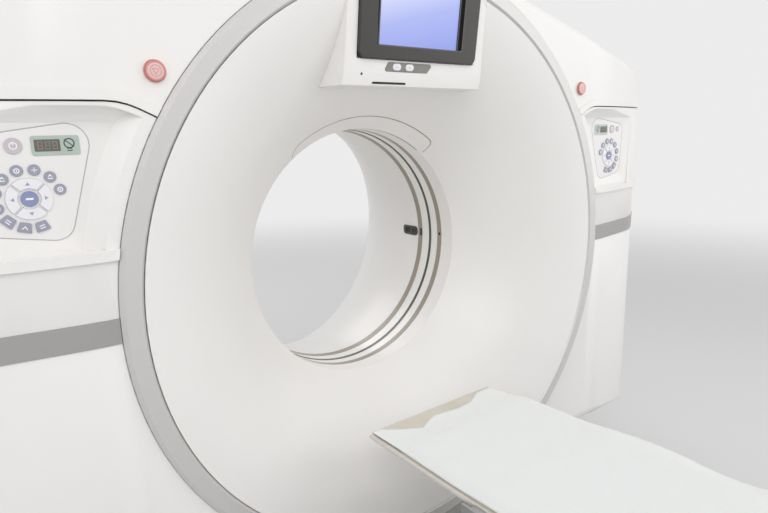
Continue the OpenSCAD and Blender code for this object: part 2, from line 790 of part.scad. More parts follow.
// Brackets from the frame to the covers. The lower ones pass behind the stand's arms.
module cover_brackets() {
    reach_y = 330;
    both_sides() {
        block([660, frame_y + 20, 160], [1200, frame_y + 60, 200]);
        block([560, frame_y + 20, -420], [600, reach_y + 40, -380]);
        block([560, reach_y, -420], [1200, reach_y + 40, -380]);
        rod_y(440, 530, 15, frame_y + frame_t - 1, rear_depth + 1);
        rod_y(330, -605, 15, frame_y + frame_t - 1, rear_depth + 1);
        block([280, frame_y + 20, -900], [320, frame_y + 60, -620]);
    }
    block([-20, frame_y + 20, 700], [20, frame_y + 60, 900]);
}
module bearing_outer_race() {
    color("lightgray") at_iso() about_bore()
        translate([race_split + slip, frame_y]) square([race_out - race_split - 2 * slip, frame_t - 10]);
}
module drive_motor() {
    color("dimgray") at_iso() rotate([0, -motor_angle, 0]) difference() {
        union() {
            rod_y(motor_dist, 0, motor_r, frame_y + frame_t, frame_y + frame_t + 170);
            for (y = [frame_y + frame_t + 40:20:frame_y + frame_t + 150])
                rod_y(motor_dist, 0, motor_r + 6, y, y + 8);
        }
        rod_y(motor_dist, 0, shaft_r + running, frame_y + frame_t - 1, frame_y + frame_t + 60);
    }
}
module motor_pulley() {
    color("silver") at_iso() rotate([0, -motor_angle, 0]) {
        rod_y(motor_dist, 0, small_pulley_r, pulley_y, pulley_y + pulley_w);
        rod_y(motor_dist, 0, shaft_r, pulley_y, frame_y + frame_t + 50);
    }
}
// A belt's outline over both pulleys, d outside their rims
function belt_outline(d) = let (h = acos((belt_r - small_pulley_r) / motor_dist)) concat(
    arc([0, 0], belt_r + d, h, 360 - h, 100), arc([motor_dist, 0], small_pulley_r + d, -h, h, 16));
module drive_belt() {
    color("dimgray") at_iso() rotate([0, -motor_angle, 0]) along_y(pulley_y + 3, pulley_y + pulley_w - 3)
        difference() {
            polygon(belt_outline(belt_gap + belt_t));
            polygon(belt_outline(belt_gap));
        }
}
module brush_block() {
    // Each brush presses on the land between two grooves of the slip ring
    color("darkgoldenrod") at_iso() rotate([0, -90, 0]) union() {
        block([450, ring_disc_y + 32, -60], [660, ring_disc_y + 90, 60]);
        block([625, frame_y + frame_t, -60], [660, ring_disc_y + 33, 60]);
        for (x = [468:22:590]) block([x, ring_disc_y + 30 + slip, -20], [x + 6, ring_disc_y + 33, 20]);
    }
}

// Rotating drum and what it carries
module rotor_drum() {
    color("gray") at_iso() difference() {
        about_bore() union() {
            translate([sleeve_r, plate_y]) square([drum_r - sleeve_r, plate_t]);
            translate([drum_r - 12, -170]) square([12, 170 + plate_y + 1]);
            translate([belt_r - 25, plate_y + plate_t - 1])
                square([25, 1 + pulley_y + pulley_w - plate_y - plate_t]);
        }
        for (a = [22.5:45:360]) rotate([0, a, 0]) rod_y(550, 0, 22, plate_y - 1, plate_y + plate_t + 1);
    }
}
// The sleeve runs in the bearing behind the plate. It carries the inner race and the slip ring.
module rotor_sleeve() {
    back_y = plate_y + plate_t;
    color("lightsteelblue") at_iso() about_bore() union() {
        translate([sleeve_r, back_y]) square([sleeve_wall, sleeve_end - back_y]);
        translate([sleeve_r, back_y]) square([sleeve_flange_r - sleeve_r, 14]);
        translate([race_in - 1, frame_y]) square([race_split - race_in + 1, frame_t - 10]);
    }
}
module xray_tube() {
    color("silver") at_iso() union() {
        rod_y(0, tube_z, tube_r, plate_y - tube_len, plate_y);
        for (y = [50:40:tube_len - 20])
            rod_y(0, tube_z, tube_r + 4, plate_y - y, plate_y - y + 12);
        block([-60, -50, collimator_top], [60, 50, focus_r - 40]);
    }
}
module collimator() {
    color("dimgray") at_iso() difference() {
        block([-110, -58, 420], [110, plate_y, collimator_top]);
        block([-80, -6, 415], [80, 6, collimator_top + 5]);
    }
}
module detector_array() {
    reach = focus_r + detector_r;
    color("steelblue") at_iso() translate([0, 0, focus_r]) rotate([-90, 0, 0])
        rotate([0, 0, 90 - fan_angle / 2]) rotate_extrude(angle = fan_angle, $fn = 360)
            translate([reach, -70]) square([80, 70 + plate_y]);
}
module hv_generator() {
    color("gray") at_iso() union() {
        block([-655, -180, -150], [-455, plate_y, 150]);
        for (z = [-90, 0, 90]) rod_y(-555, z, 20, -200, -179);
    }
}
module heat_exchanger() {
    color("silver") at_iso() difference() {
        block([455, -180, -150], [655, plate_y, 150]);
        for (z = [-75, 75]) rod_y(555, z, 60, -181, -150);
    }
}
module slip_ring() {
    color("goldenrod") at_iso() about_bore() difference() {
        translate([race_in, ring_disc_y]) square([slip_ring_out - race_in, 30]);
        for (r = [466:22:590]) translate([r + 10, ring_disc_y + 28]) square([8, 5]);
    }
}
module counterweight() {
    color("dimgray") at_iso() union() {
        block([-140, -60, -625], [140, plate_y, -515]);
        for (x = [-1, 1]) rotate([0, x * 38, 0]) block([-50, -60, 540], [50, plate_y, 660]);
    }
}

// Patient table
module lift_arms(inner) {
    angle = atan2(lift_rise, lift_run);
    color("gray") union() {
        for (x = [-inner - 30, inner]) along_x(x, x + 30) difference() {
            union() {
                circle(r = 42);
                rotate(180 - angle) translate([0, -36]) square([lift_len, 72]);
                translate([-lift_run, lift_rise]) circle(r = 42);
            }
            circle(r = pin_r + running);
            translate([-lift_run, lift_rise]) circle(r = pin_r + running);
        }
        translate([0, -lift_run / 2, lift_rise / 2]) rotate([0, 90, 0])
            cylinder(r = 28, h = 2 * inner + 2, center = true);
    }
}
module front_lift_arms() { translate([0, -front_pin_y, lower_pin_z]) lift_arms(front_arm_in); }
module rear_lift_arms() { translate([0, -front_pin_y - pin_spacing, lower_pin_z]) lift_arms(rear_arm_in); }
module table_base() {
    color("slategray") union() {
        difference() {
            along_z_box(tub_half - wall - slip, tub_rear_y + wall + slip, tub_front_y - wall - slip, 0, 20,
                tub_corner - wall - slip);
            for (x = [-1, 1], y = [-1, 1])
                translate([x * table_anchor_x / 2, y * table_anchor_y / 2 + tub_middle_y, -1])
                    cylinder(r = anchor_r, h = 30);
        }
        for (y = [-front_pin_y, -front_pin_y - pin_spacing], x = [-1, 1]) along_x(x * 150 - 12, x * 150 + 12)
            polygon([[y - 60, 19], [y + 60, 19], [y + 30, lower_pin_z + 30], [y - 30, lower_pin_z + 30]]);
        rod_x(-front_pin_y, lower_pin_z, pin_r, -front_arm_in - 36, front_arm_in + 36);
        rod_x(-front_pin_y - pin_spacing, lower_pin_z, pin_r, -160, 160);
    }
}
module table_tub() {
    color("white") union() {
        difference() {
            along_z_box(tub_half, tub_rear_y, tub_front_y, 0, tub_top, tub_corner);
            along_z_box(tub_half - wall, tub_rear_y + wall, tub_front_y - wall, -1, tub_top + 1,
                tub_corner - wall);
        }
        for (x = [-pedal_x, pedal_x], side = [-49, 49]) difference() {
            block([x + side - 4, tub_front_y - 1, pedal_z - 12],
                [x + side + 4, tub_front_y + pedal_out + 12, pedal_z + 12]);
            rod_x(tub_front_y + pedal_out, pedal_z, pedal_pin_r + running, x + side - 5, x + side + 5);
        }
    }
}
module along_z_box(half, y0, y1, z0, z1, r) {
    translate([0, 0, z0]) linear_extrude(z1 - z0) polygon(rounded(box_outline(-half, y0, half, y1, r)));
}
module table_frame() {
    color("gray") difference() {
        union() {
            for (x = [-240, 180])
                block([x, table_rear_y, frame_bottom_z], [x + 60, table_front_y, frame_top_z]);
            for (y = [table_front_y - 60, -1200, -1900, table_rear_y])
                block([-skirt_in, y, frame_bottom_z + 5], [skirt_in, y + 60, frame_top_z - 5]);
            for (y = [-upper_pin_y, -upper_pin_y - pin_spacing]) for (x = [-1, 1])
                along_x(x * 225 - 12, x * 225 + 12)
                    polygon([[y - 60, frame_bottom_z + 1], [y - 32, upper_pin_z - 30],
                        [y + 32, upper_pin_z - 30], [y + 60, frame_bottom_z + 1]]);
            rod_x(-upper_pin_y, upper_pin_z, pin_r, -236, 236);
            rod_x(-upper_pin_y - pin_spacing, upper_pin_z, pin_r - 1, -236, 236);
            block([-60, table_rear_y + 20, frame_top_z - 6],
                [60, table_front_y - 10, rim_height - cradle_depth - slip]);
        }
    }
}
module table_skirt() {
    front = table_front_y + slip + 8;
    rear = table_rear_y - slip - 8;
    top = frame_top_z + 8;
    color("white") union() {
        both_sides() {
            along_x(skirt_in, skirt_in + 8)
                polygon(rounded([[tub_rear_y - 60, skirt_bottom, 40], [front, skirt_bottom, 40],
                    [front, top, 0], [rear, top, 0], [rear, 480, 60]]));
            block([cradle_half + 20, rear, frame_top_z], [skirt_in + 1, front, top]);
        }
        block([-skirt_in - 1, front - 8, end_plate_z], [skirt_in + 1, front, top]);
        block([-skirt_in - 1, rear, end_plate_z], [skirt_in + 1, rear + 8, top]);
    }
}
cradle_top = [for (i = [-8:8]) [cradle_half * i / 8 * 0.97, -cradle_hollow * (1 - pow(i / 8, 2))]];
cradle_under = [for (i = [8:-1:-8]) [cradle_half * i / 8, -12 - (cradle_depth - 12) * (1 - pow(i / 8, 2))]];
module cradle() {
    color("white") translate([0, 0, rim_height]) along_y(cradle_tail_y, cradle_end_y)
        polygon(concat([[-cradle_half, -12], [-cradle_half, 0]], cradle_top, [[cradle_half, 0]],
            [for (p = cradle_under) [p[0], max(p[1], -cradle_depth)]]));
}
module mattress() {
    under = [for (i = [-8:8])
        [cradle_half * i / 8 * 0.94, slip - cradle_hollow * (1 - pow(i / 8, 2)) * 0.97]];
    top = [for (i = [8:-1:-8]) [(cradle_half - 8) * i / 8, mattress_rise - 4 * pow(i / 8, 4)]];
    color("lightgray") translate([0, 0, rim_height])
        along_y(cradle_tail_y + 60, cradle_end_y - ramp_end - 2) polygon(concat(under, top));
}
module sheet() {
    t = sheet_t;
    a = cradle_end_y - 25;
    b = cradle_end_y - ramp_start;
    c = cradle_end_y - ramp_end;
    e = cradle_tail_y + 250;
    top = mattress_rise + slip;
    color("white") translate([0, 0, rim_height]) union() {
        along_x(-cradle_half + 3, cradle_half + 2)
            polygon([[a, slip], [a, slip + t], [b, slip + t], [c, top + t], [e, top + t], [e, top],
                [c, top], [b, slip]]);
        along_y(e, flap_start_y) polygon([[cradle_half, top], [cradle_half + flap_w, top - 12],
            [cradle_half + flap_w, top - 12 + t], [cradle_half, top + t]]);
    }
}
module accessory_rails() {
    color("silver") translate([0, 0, rim_height]) both_sides() union() {
        block([cradle_half + 12, cradle_tail_y + 60, -30], [cradle_half + 18, table_front_y - 10, -1]);
        for (y = [table_front_y - 60:-400:cradle_tail_y + 80])
            block([cradle_half, y, -11], [cradle_half + 12.5, y + 30, -1]);
    }
}
module pedal(x) {
    color("gray") translate([x, tub_front_y + pedal_out, pedal_z]) union() {
        rod_x(0, 0, pedal_pin_r, -53, 53);
        block([-44, -4, -4], [44, 75, 8]);
    }
}
module pedal_up() { pedal(-pedal_x); }
module pedal_down() { pedal(pedal_x); }

gantry_base();
plinth_cover();
tilt_gear_unit();
floor_duct();
table_base();
table_tub();
pedal_up();
pedal_down();
tilt_frame();
bearing_outer_race();
drive_motor();
drive_belt();
brush_block();
front_dish();
trim_ring();
upper_cover();
left_lower_cover();
right_lower_cover();
rear_cover();
rear_flare();
scan_window();
bore_bands();
crescent_cover();
bore_sensor();
side_bands();
left_panel();
right_panel();
panel_displays();
console_housing();
display_bezel();
display_screen();
console_keypad();
rotor_drum();
rotor_sleeve();
xray_tube();
collimator();
detector_array();
hv_generator();
heat_exchanger();
slip_ring();
counterweight();
motor_pulley();
front_lift_arms();
rear_lift_arms();
table_frame();
table_skirt();
cradle();
accessory_rails();
mattress();
sheet();
left_estop();
right_estop();
left_key_up();
left_key_down();
left_key_in();
left_key_out();
right_key_up();
right_key_down();
right_key_in();
right_key_out();
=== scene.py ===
"""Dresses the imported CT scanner: finishes, rounded edges, soft goods, marks, small fittings and a stage."""
import json
import math
from functools import lru_cache

import bmesh
import bpy
from bpy.props import FloatProperty, FloatVectorProperty, PointerProperty
from mathutils import Matrix, Vector, noise
from mathutils.bvhtree import BVHTree
from mathutils.kdtree import KDTree


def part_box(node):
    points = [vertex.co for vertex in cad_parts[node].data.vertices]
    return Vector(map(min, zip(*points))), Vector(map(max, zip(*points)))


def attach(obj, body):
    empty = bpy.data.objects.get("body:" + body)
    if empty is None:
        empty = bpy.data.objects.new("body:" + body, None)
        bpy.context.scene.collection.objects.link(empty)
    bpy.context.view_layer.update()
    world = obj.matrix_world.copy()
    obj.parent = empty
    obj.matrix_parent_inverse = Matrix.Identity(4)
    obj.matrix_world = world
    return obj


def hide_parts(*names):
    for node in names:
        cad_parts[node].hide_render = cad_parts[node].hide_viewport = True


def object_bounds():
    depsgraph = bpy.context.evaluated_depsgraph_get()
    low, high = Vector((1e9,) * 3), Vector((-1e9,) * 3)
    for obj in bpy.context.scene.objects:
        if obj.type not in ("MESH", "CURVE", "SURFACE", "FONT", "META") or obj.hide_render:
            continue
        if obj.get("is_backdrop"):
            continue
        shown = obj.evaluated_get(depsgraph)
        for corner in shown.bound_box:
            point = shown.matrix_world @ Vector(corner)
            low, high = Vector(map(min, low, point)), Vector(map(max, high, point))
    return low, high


bl_info = {
    "name": "CT scanner dressing",
    "version": (1, 0, 0),
    "blender": (4, 5, 0),
    "location": "3D View > Sidebar > CT scanner",
    "description": "Finishes, soft goods and small fittings for a tilting CT scanner and its table",
    "category": "Object",
}

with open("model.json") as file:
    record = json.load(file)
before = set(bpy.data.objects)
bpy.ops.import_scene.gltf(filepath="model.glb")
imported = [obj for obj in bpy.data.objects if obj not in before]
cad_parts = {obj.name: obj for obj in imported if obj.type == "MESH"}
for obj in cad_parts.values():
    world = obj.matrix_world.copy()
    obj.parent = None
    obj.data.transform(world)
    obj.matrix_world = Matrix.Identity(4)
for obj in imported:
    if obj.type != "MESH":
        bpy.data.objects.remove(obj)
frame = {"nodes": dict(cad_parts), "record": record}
CAD_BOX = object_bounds()
NODES = frame["nodes"]
BODY_OF = {node: body for body, nodes in frame["record"]["behaviour"]["bodies"].items() for node in nodes}
MM = 0.001
ISO = 1.05
SIDES = {"left": -1, "right": 1}


def linear(code, alpha=1.0):
    """The linear colour of an sRGB hex code, as red, green, blue and alpha."""
    parts = [int(code[i:i + 2], 16) / 255 for i in (1, 3, 5)]
    return (*[p / 12.92 if p <= 0.04045 else ((p + 0.055) / 1.055) ** 2.4 for p in parts], alpha)


# Sizes and colours that a user would change

def length_prop(name, text, mm, low, high):
    return FloatProperty(name=name, description=text, default=mm * MM, min=low * MM, max=high * MM,
                         unit="LENGTH", subtype="DISTANCE")


def colour_prop(name, text, code):
    return FloatVectorProperty(name=name, description=text, default=linear(code)[:3], min=0, max=1,
                               subtype="COLOR")


class ScannerSizes(bpy.types.PropertyGroup):
    """Sizes of the soft goods and of the rounded edges."""
    cover_edge: length_prop("Cover edge", "Rounding of the moulded covers' edges", 2.4, 0.5, 4)
    metal_edge: length_prop("Metal edge", "Rounding of the machined and welded edges", 0.8, 0.2, 2)
    broad_edge: length_prop("Broad edge", "Rounding of the nose of the ledges", 9, 2, 9.5)
    wave_height: length_prop("Sheet wave", "Height of the waves along the sheet's hanging edge", 9, 0, 15)
    crease_height: length_prop("Sheet crease", "Height of the creases on the sheet's top", 1.6, 0, 4)
    seam_bead: length_prop("Mattress seam", "Radius of the welded seam round the mattress", 1.6, 0.8, 3)


class ScannerColours(bpy.types.PropertyGroup):
    """Colours of the surfaces that set the scanner's look."""
    cover: colour_prop("Covers", "Warm white of the moulded covers", "#EFEDEB")
    ring: colour_prop("Trim ring", "Silver lacquer of the ring", "#D2D0CF")
    # The side bands' colour is the ring's silver lacquer darkened by painted shade
    band: colour_prop("Side bands", "Darker silver lacquer of the side bands", "#A9A7A6")
    key: colour_prop("Keys", "Blue-grey of the keys", "#9C9EAE")
    stop: colour_prop("Emergency stop", "Pale red of the emergency stop buttons", "#E3968F")
    screen: colour_prop("Screen", "Pale blue of the lit screen", "#A9B4F2")
    sheet: colour_prop("Sheet", "White of the disposable sheet", "#ECECEA")
    mattress: colour_prop("Mattress", "Khaki grey of the mattress cover", "#CFCABC")


def sizes():
    return bpy.context.scene.scanner_sizes


def colours():
    return bpy.context.scene.scanner_colours


# Materials

def add_node(tree, kind, inputs=None, **settings):
    """Adds a node of that kind. An input is given as a value, or as another node's output to link."""
    node = tree.nodes.new(kind)
    for name, value in settings.items():
        setattr(node, name, value)
    for socket, value in (inputs or {}).items():
        if isinstance(value, bpy.types.NodeSocket):
            tree.links.new(value, node.inputs[socket])
        else:
            node.inputs[socket].default_value = value
    return node


def start_material(name, colour, roughness, metallic=0.0, ior=1.5, **more):
    """A material with a Principled shader, and its tree and shader."""
    material = bpy.data.materials.new(name)
    material.use_nodes = True
    tree = material.node_tree
    tree.nodes.clear()
    shader = add_node(tree, "ShaderNodeBsdfPrincipled", {
        "Base Color": (*colour[:3], 1.0), "Roughness": roughness, "Metallic": metallic, "IOR": ior, **more})
    add_node(tree, "ShaderNodeOutputMaterial", {"Surface": shader.outputs[0]})
    return material, tree, shader


def grain(tree, spacing, detail=2.0, stretch=(1, 1, 1)):
    """Noise in the object's own space, whose grains lie about spacing metres apart."""
    place = add_node(tree, "ShaderNodeTexCoord")
    mapped = add_node(tree, "ShaderNodeMapping", {"Vector": place.outputs["Object"],
                                                  "Scale": [s / spacing for s in stretch]})
    return add_node(tree, "ShaderNodeTexNoise", {"Vector": mapped.outputs[0], "Scale": 1.0, "Detail": detail})


def tint(tree, shader, field, dark, light, socket="Base Color"):
    """Spreads a colour between dark and light by a field from 0.3 to 0.7."""
    ramp = add_node(tree, "ShaderNodeValToRGB", {"Fac": field})
    ramp.color_ramp.elements[0].position = 0.3
    ramp.color_ramp.elements[1].position = 0.7
    ramp.color_ramp.elements[0].color = (*dark[:3], 1)
    ramp.color_ramp.elements[1].color = (*light[:3], 1)
    tree.links.new(ramp.outputs["Color"], shader.inputs[socket])
    return ramp


def spread(tree, shader, field, low, high, socket="Roughness"):
    """Spreads a number between low and high by a field from 0 to 1."""
    span = add_node(tree, "ShaderNodeMapRange", {"Value": field, "To Min": low, "To Max": high})
    tree.links.new(span.outputs[0], shader.inputs[socket])


def relief(tree, shader, field, height, strength=1.0):
    """Bumps the surface by a field, height metres from its lowest to its highest point."""
    bump = add_node(tree, "ShaderNodeBump", {"Height": field, "Distance": height, "Strength": strength})
    tree.links.new(bump.outputs[0], shader.inputs["Normal"])


def scaled(colour, factor):
    return [min(c * factor, 1.0) for c in colour[:3]]


def grained(name, base, roughness, pitch, dark, light, detail=2, stretch=(1, 1, 1), gloss=None, height=None,
            **more):
    """A material tinted by one grain, pitch metres apart, from dark to light times its base colour. The grain
    also spreads the roughness over gloss and raises the surface by height, where these are given."""
    material, tree, shader = start_material(name, base, roughness, **more)
    field = grain(tree, pitch, detail, stretch).outputs[0]
    tint(tree, shader, field, scaled(base, dark), scaled(base, light))
    if gloss:
        spread(tree, shader, field, *gloss)
    if height:
        relief(tree, shader, field, height)
    return material


def moulded_cover():
    # Reaction-moulded polyurethane, satin painted: soft highlights and a faint orange peel
    base = colours().cover
    material, tree, shader = start_material("polyurethane_satin_painted", base, 0.36, ior=1.5,
                                            **{"Coat Weight": 0.12, "Coat Roughness": 0.2})
    tint(tree, shader, grain(tree, 380 * MM, 3).outputs[0], scaled(base, 0.975), scaled(base, 1.01))
    # The peel of the paint is 3 mm apart; drawn at 5 mm, so that it shows
    peel = grain(tree, 5 * MM, 1).outputs[0]
    spread(tree, shader, peel, 0.33, 0.4)
    relief(tree, shader, peel, 0.03 * MM)
    return material


def silver_lacquer():
    return lacquer("silver_lacquer", colours().ring)


# The ring's lacquer in a darker grey for the side bands: their shade is painted into the colour
def band_lacquer_painted_shade():
    return lacquer("silver_lacquer_painted_shade", colours().band)


def lacquer(name, base):
    # Silver lacquer on moulded plastic: aluminium flakes that sparkle softly, no mirror image.
    # Flakes of 0.1 mm are drawn at 1.5 mm, so that they show
    return grained(name, base, 0.42, 1.5 * MM, 0.95, 1.04, gloss=(0.36, 0.48), metallic=0.35)


def window_film():
    # Extruded polyester film, milky white: a tight gloss over a white that lets a little light in
    material, tree, shader = start_material("polyester_film", linear("#F0EFEC"), 0.24, ior=1.58,
                                            **{"Subsurface Weight": 0.08, "Subsurface Scale": 4 * MM})
    drawn = grain(tree, 60 * MM, 2, (1, 8, 1)).outputs[0]
    spread(tree, shader, drawn, 0.2, 0.28)
    return material


def printed_band():
    # Ink printed on the film's back: warm grey at both ends, darker in the scan plane, slightly mottled
    material, tree, shader = start_material("ink_printed_film", linear("#9A9083"), 0.3, ior=1.58)
    place = add_node(tree, "ShaderNodeTexCoord")
    along = add_node(tree, "ShaderNodeSeparateXYZ", {"Vector": place.outputs["Object"]})
    size = add_node(tree, "ShaderNodeMath", {0: along.outputs["Y"]}, operation="ABSOLUTE")
    ramp = add_node(tree, "ShaderNodeValToRGB", {"Fac": size.outputs[0]})
    ramp.color_ramp.interpolation = "CONSTANT"
    ramp.color_ramp.elements[0].color = linear("#4A4438")
    ramp.color_ramp.elements[1].position = 15 * MM
    ramp.color_ramp.elements[1].color = linear("#9A9083")
    mottle = grain(tree, 12 * MM, 2).outputs[0]
    share = add_node(tree, "ShaderNodeMapRange", {"Value": mottle, "To Min": 0.9, "To Max": 1.06})
    mixed = add_node(tree, "ShaderNodeVectorMath", {0: ramp.outputs["Color"], 1: share.outputs[0]},
                     operation="MULTIPLY")
    tree.links.new(mixed.outputs[0], shader.inputs["Base Color"])
    return material


def dark_window():
    # Smoked acrylic, polished: near black with a clear reflection and a trace of dust
    material, tree, shader = start_material("smoked_acrylic", linear("#2A2928"), 0.12, ior=1.49,
                                            **{"Coat Weight": 0.3, "Coat Roughness": 0.05})
    spread(tree, shader, grain(tree, 25 * MM, 4).outputs[0], 0.08, 0.2)
    return material


def membrane_panel():
    # Screen-printed polycarbonate film, fine matt texture: an even pale face with no sharp highlight
    base = linear("#EDEBEA")
    material, tree, shader = start_material("polycarbonate_film_matt", base, 0.5, ior=1.58)
    fine = grain(tree, 1.2 * MM, 2).outputs[0]
    tint(tree, shader, grain(tree, 120 * MM, 2).outputs[0], scaled(base, 0.98), base)
    relief(tree, shader, fine, 0.02 * MM)
    return material


def display_glass():
    # Tinted glass over a liquid crystal cell: pale green-grey with a clear reflection
    return grained("display_glass", linear("#B4C3BB"), 0.16, 30 * MM, 0.94, 1.03, ior=1.52)


def display_segments():
    # Driven segments of the liquid crystal: dark grey-green and even
    return grained("liquid_crystal_segments", linear("#4E5653"), 0.22, 5 * MM, 0.9, 1.1, ior=1.52)


def display_cell():
    # Liquid crystal cell behind its glass: warm dark grey, slightly mottled
    return grained("liquid_crystal_cell", linear("#6B655C"), 0.22, 14 * MM, 0.9, 1.08, ior=1.52)


def moulded_bezel():
    # ABS, spark-eroded mould: dark warm grey whose fine grain softens the highlight
    return grained("abs_spark_grained", linear("#36322F"), 0.38, 1.4 * MM, 0.93, 1.07, detail=3,
                   height=0.04 * MM, ior=1.53)


def lit_screen():
    # Back-lit display under matt glass: it gives its own pale blue light, brighter at the top left
    base = colours().screen
    material, tree, shader = start_material("backlit_display", scaled(base, 0.1), 0.25, ior=1.52,
                                            **{"Emission Strength": 0.86})
    low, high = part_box("display_screen")
    place = add_node(tree, "ShaderNodeTexCoord")
    parts = add_node(tree, "ShaderNodeSeparateXYZ", {"Vector": place.outputs["Object"]})
    up = add_node(tree, "ShaderNodeMapRange", {"Value": parts.outputs["Z"], "From Min": low.z,
                                               "From Max": high.z})
    across = add_node(tree, "ShaderNodeMapRange", {"Value": parts.outputs["X"], "From Min": low.x,
                                                   "From Max": high.x, "To Min": 0.35, "To Max": -0.1})
    total = add_node(tree, "ShaderNodeMath", {0: up.outputs[0], 1: across.outputs[0]}, operation="ADD")
    ramp = add_node(tree, "ShaderNodeValToRGB", {"Fac": total.outputs[0]})
    ramp.color_ramp.elements[0].color = linear("#8C9BE8")
    ramp.color_ramp.elements[1].color = linear("#DCE0FC")
    middle = ramp.color_ramp.elements.new(0.55)
    middle.color = (*base, 1)
    tree.links.new(ramp.outputs["Color"], shader.inputs["Emission Color"])
    return material


def keypad_strip():
    # Moulded silicone key mat, matt grey
    return grained("silicone_key_mat", linear("#8B8884"), 0.55, 8 * MM, 0.94, 1.05, ior=1.41)


def stop_plastic():
    # Polycarbonate, injection moulded: a milky pale red with a bright gloss
    base = [0.45 * c + 0.42 for c in colours().stop]
    return grained("polycarbonate_red", base, 0.28, 10 * MM, 0.96, 1.03, ior=1.58)


def key_cap(name, base, dark, light):
    """ABS key caps, fine-grained, with a soft sheen."""
    return grained(name, base, 0.42, 1.5 * MM, dark, light, ior=1.53)


def key_plastic():
    # Key caps in blue-grey
    return key_cap("abs_key_cap", colours().key, 0.96, 1.04)


def blue_key():
    # The same key plastic, dyed bluer for the middle key
    return key_cap("abs_key_cap_blue", linear("#8A92B6"), 0.97, 1.03)


def warm_key():
    # The same key plastic, a pinkish grey for the two keys above
    return key_cap("abs_key_cap_warm", linear("#C6BFC6"), 0.97, 1.03)


def petal_plastic():
    # The same key plastic, nearly white
    return key_cap("abs_key_cap_pale", linear("#ECEBEF"), 0.97, 1.02)


def white_ink():
    # Screen-printed white ink: dead matt and slightly uneven
    return grained("white_ink", linear("#FAFAFA"), 0.6, 2 * MM, 0.94, 1)


def grey_ink():
    # Screen-printed grey ink, thin and matt
    return grained("grey_ink", linear("#B3B2B2"), 0.6, 3 * MM, 0.95, 1.04)


def powder_coat(name, code, roughness=0.5):
    """Powder coat baked on steel: an even colour with a fine leathery pebble."""
    base = linear(code)
    material, tree, shader = start_material(name, base, roughness)
    # The pebble is 1 mm apart; drawn at 3 mm, so that it shows
    pebble = grain(tree, 3 * MM, 2).outputs[0]
    tint(tree, shader, grain(tree, 90 * MM, 3).outputs[0], scaled(base, 0.93), scaled(base, 1.05))
    relief(tree, shader, pebble, 0.08 * MM)
    return material


def frame_paint():
    return powder_coat("powder_coat_steel_grey", "#7F868C")


def box_enamel():
    return powder_coat("enamel_light_grey", "#A9ACAF", 0.4)


def plinth_plastic():
    # Thermoformed ABS sheet, hair-cell texture: pale grey and matt
    return powder_coat("abs_hair_cell", "#C9C9C6", 0.55)


def painted_casting():
    # Painted cast iron: the skin of the sand mould shows through the paint
    return grained("cast_iron_painted", linear("#6C6D70"), 0.55, 6 * MM, 0.88, 1.1, detail=4, height=0.4 * MM)


def turned_alloy():
    # Aluminium alloy, turned: bright, with fine rings that the tool left
    return grained("aluminium_turned", linear("#C9CACC"), 0.34, 4 * MM, 0.93, 1.04, detail=3,
                   gloss=(0.28, 0.42), height=0.03 * MM, metallic=1.0)


def ground_steel():
    # Bearing steel, ground: darker than the alloy, with a tight highlight
    base = linear("#A8A9AB")
    material, tree, shader = start_material("steel_ground", base, 0.28, metallic=1.0)
    spread(tree, shader, grain(tree, 3 * MM, 3).outputs[0], 0.22, 0.36)
    return material


def brushed_rail():
    # Stainless steel, brushed along its length: long streaks that stretch the highlight
    return grained("stainless_steel_brushed", linear("#C2C3C4"), 0.32, 1.2 * MM, 0.9, 1.05, detail=3,
                   stretch=(1, 0.02, 1), gloss=(0.24, 0.44), metallic=1.0)


def belt_rubber():
    # Neoprene with a woven back: black and dull, with a faint dust of wear
    return grained("neoprene_belt", linear("#262626"), 0.7, 9 * MM, 0.8, 1.3, detail=3)


def phenolic_holder():
    # Phenolic resin with paper fill: amber brown, satin
    return grained("phenolic_laminate", linear("#A3793F"), 0.4, 5 * MM, 0.85, 1.1, detail=3,
                   stretch=(1, 1, 6), ior=1.6)


def brass_tracks():
    # Brass, polished by the brushes: bright gold with rubbed rings
    return grained("brass_polished", linear("#D9B778"), 0.24, 3 * MM, 0.88, 1.04, detail=3,
                   gloss=(0.16, 0.36), metallic=1.0)


def pedal_rubber():
    # Nitrile rubber, moulded over steel: dark grey and dull, paler where shoes rub it
    return grained("nitrile_rubber", linear("#55555A"), 0.65, 18 * MM, 0.82, 1.2, detail=3)


def cradle_laminate():
    # Carbon-fibre laminate under a light grey gel coat: smooth, with a faint weave in the gloss
    base = linear("#DAD6CE")
    material, tree, shader = start_material("gel_coated_laminate", base, 0.3, ior=1.54)
    weave = add_node(tree, "ShaderNodeTexWave", {"Scale": 1 / (6 * MM) / 20, "Distortion": 0.4},
                     bands_direction="DIAGONAL")
    place = add_node(tree, "ShaderNodeTexCoord")
    tree.links.new(place.outputs["Object"], weave.inputs["Vector"])
    tint(tree, shader, grain(tree, 150 * MM, 2).outputs[0], scaled(base, 0.97), scaled(base, 1.02))
    spread(tree, shader, weave.outputs["Fac"], 0.27, 0.33)
    return material


def woven(name, base, thread, height, roughness, sheen):
    """A cloth: two crossing sets of threads, thread metres apart, as relief."""
    material, tree, shader = start_material(name, base, roughness, ior=1.45,
                                            **{"Sheen Weight": sheen, "Sheen Roughness": 0.5})
    place = add_node(tree, "ShaderNodeTexCoord")
    settings = {"Vector": place.outputs["Object"], "Scale": 1 / (thread * 20), "Distortion": 0.6,
                "Detail": 1.0}
    waves = [add_node(tree, "ShaderNodeTexWave", settings, bands_direction=way) for way in ("X", "Y")]
    crossed = add_node(tree, "ShaderNodeMath", {0: waves[0].outputs["Fac"], 1: waves[1].outputs["Fac"]},
                       operation="MULTIPLY")
    relief(tree, shader, crossed.outputs[0], height)
    return material, tree, shader


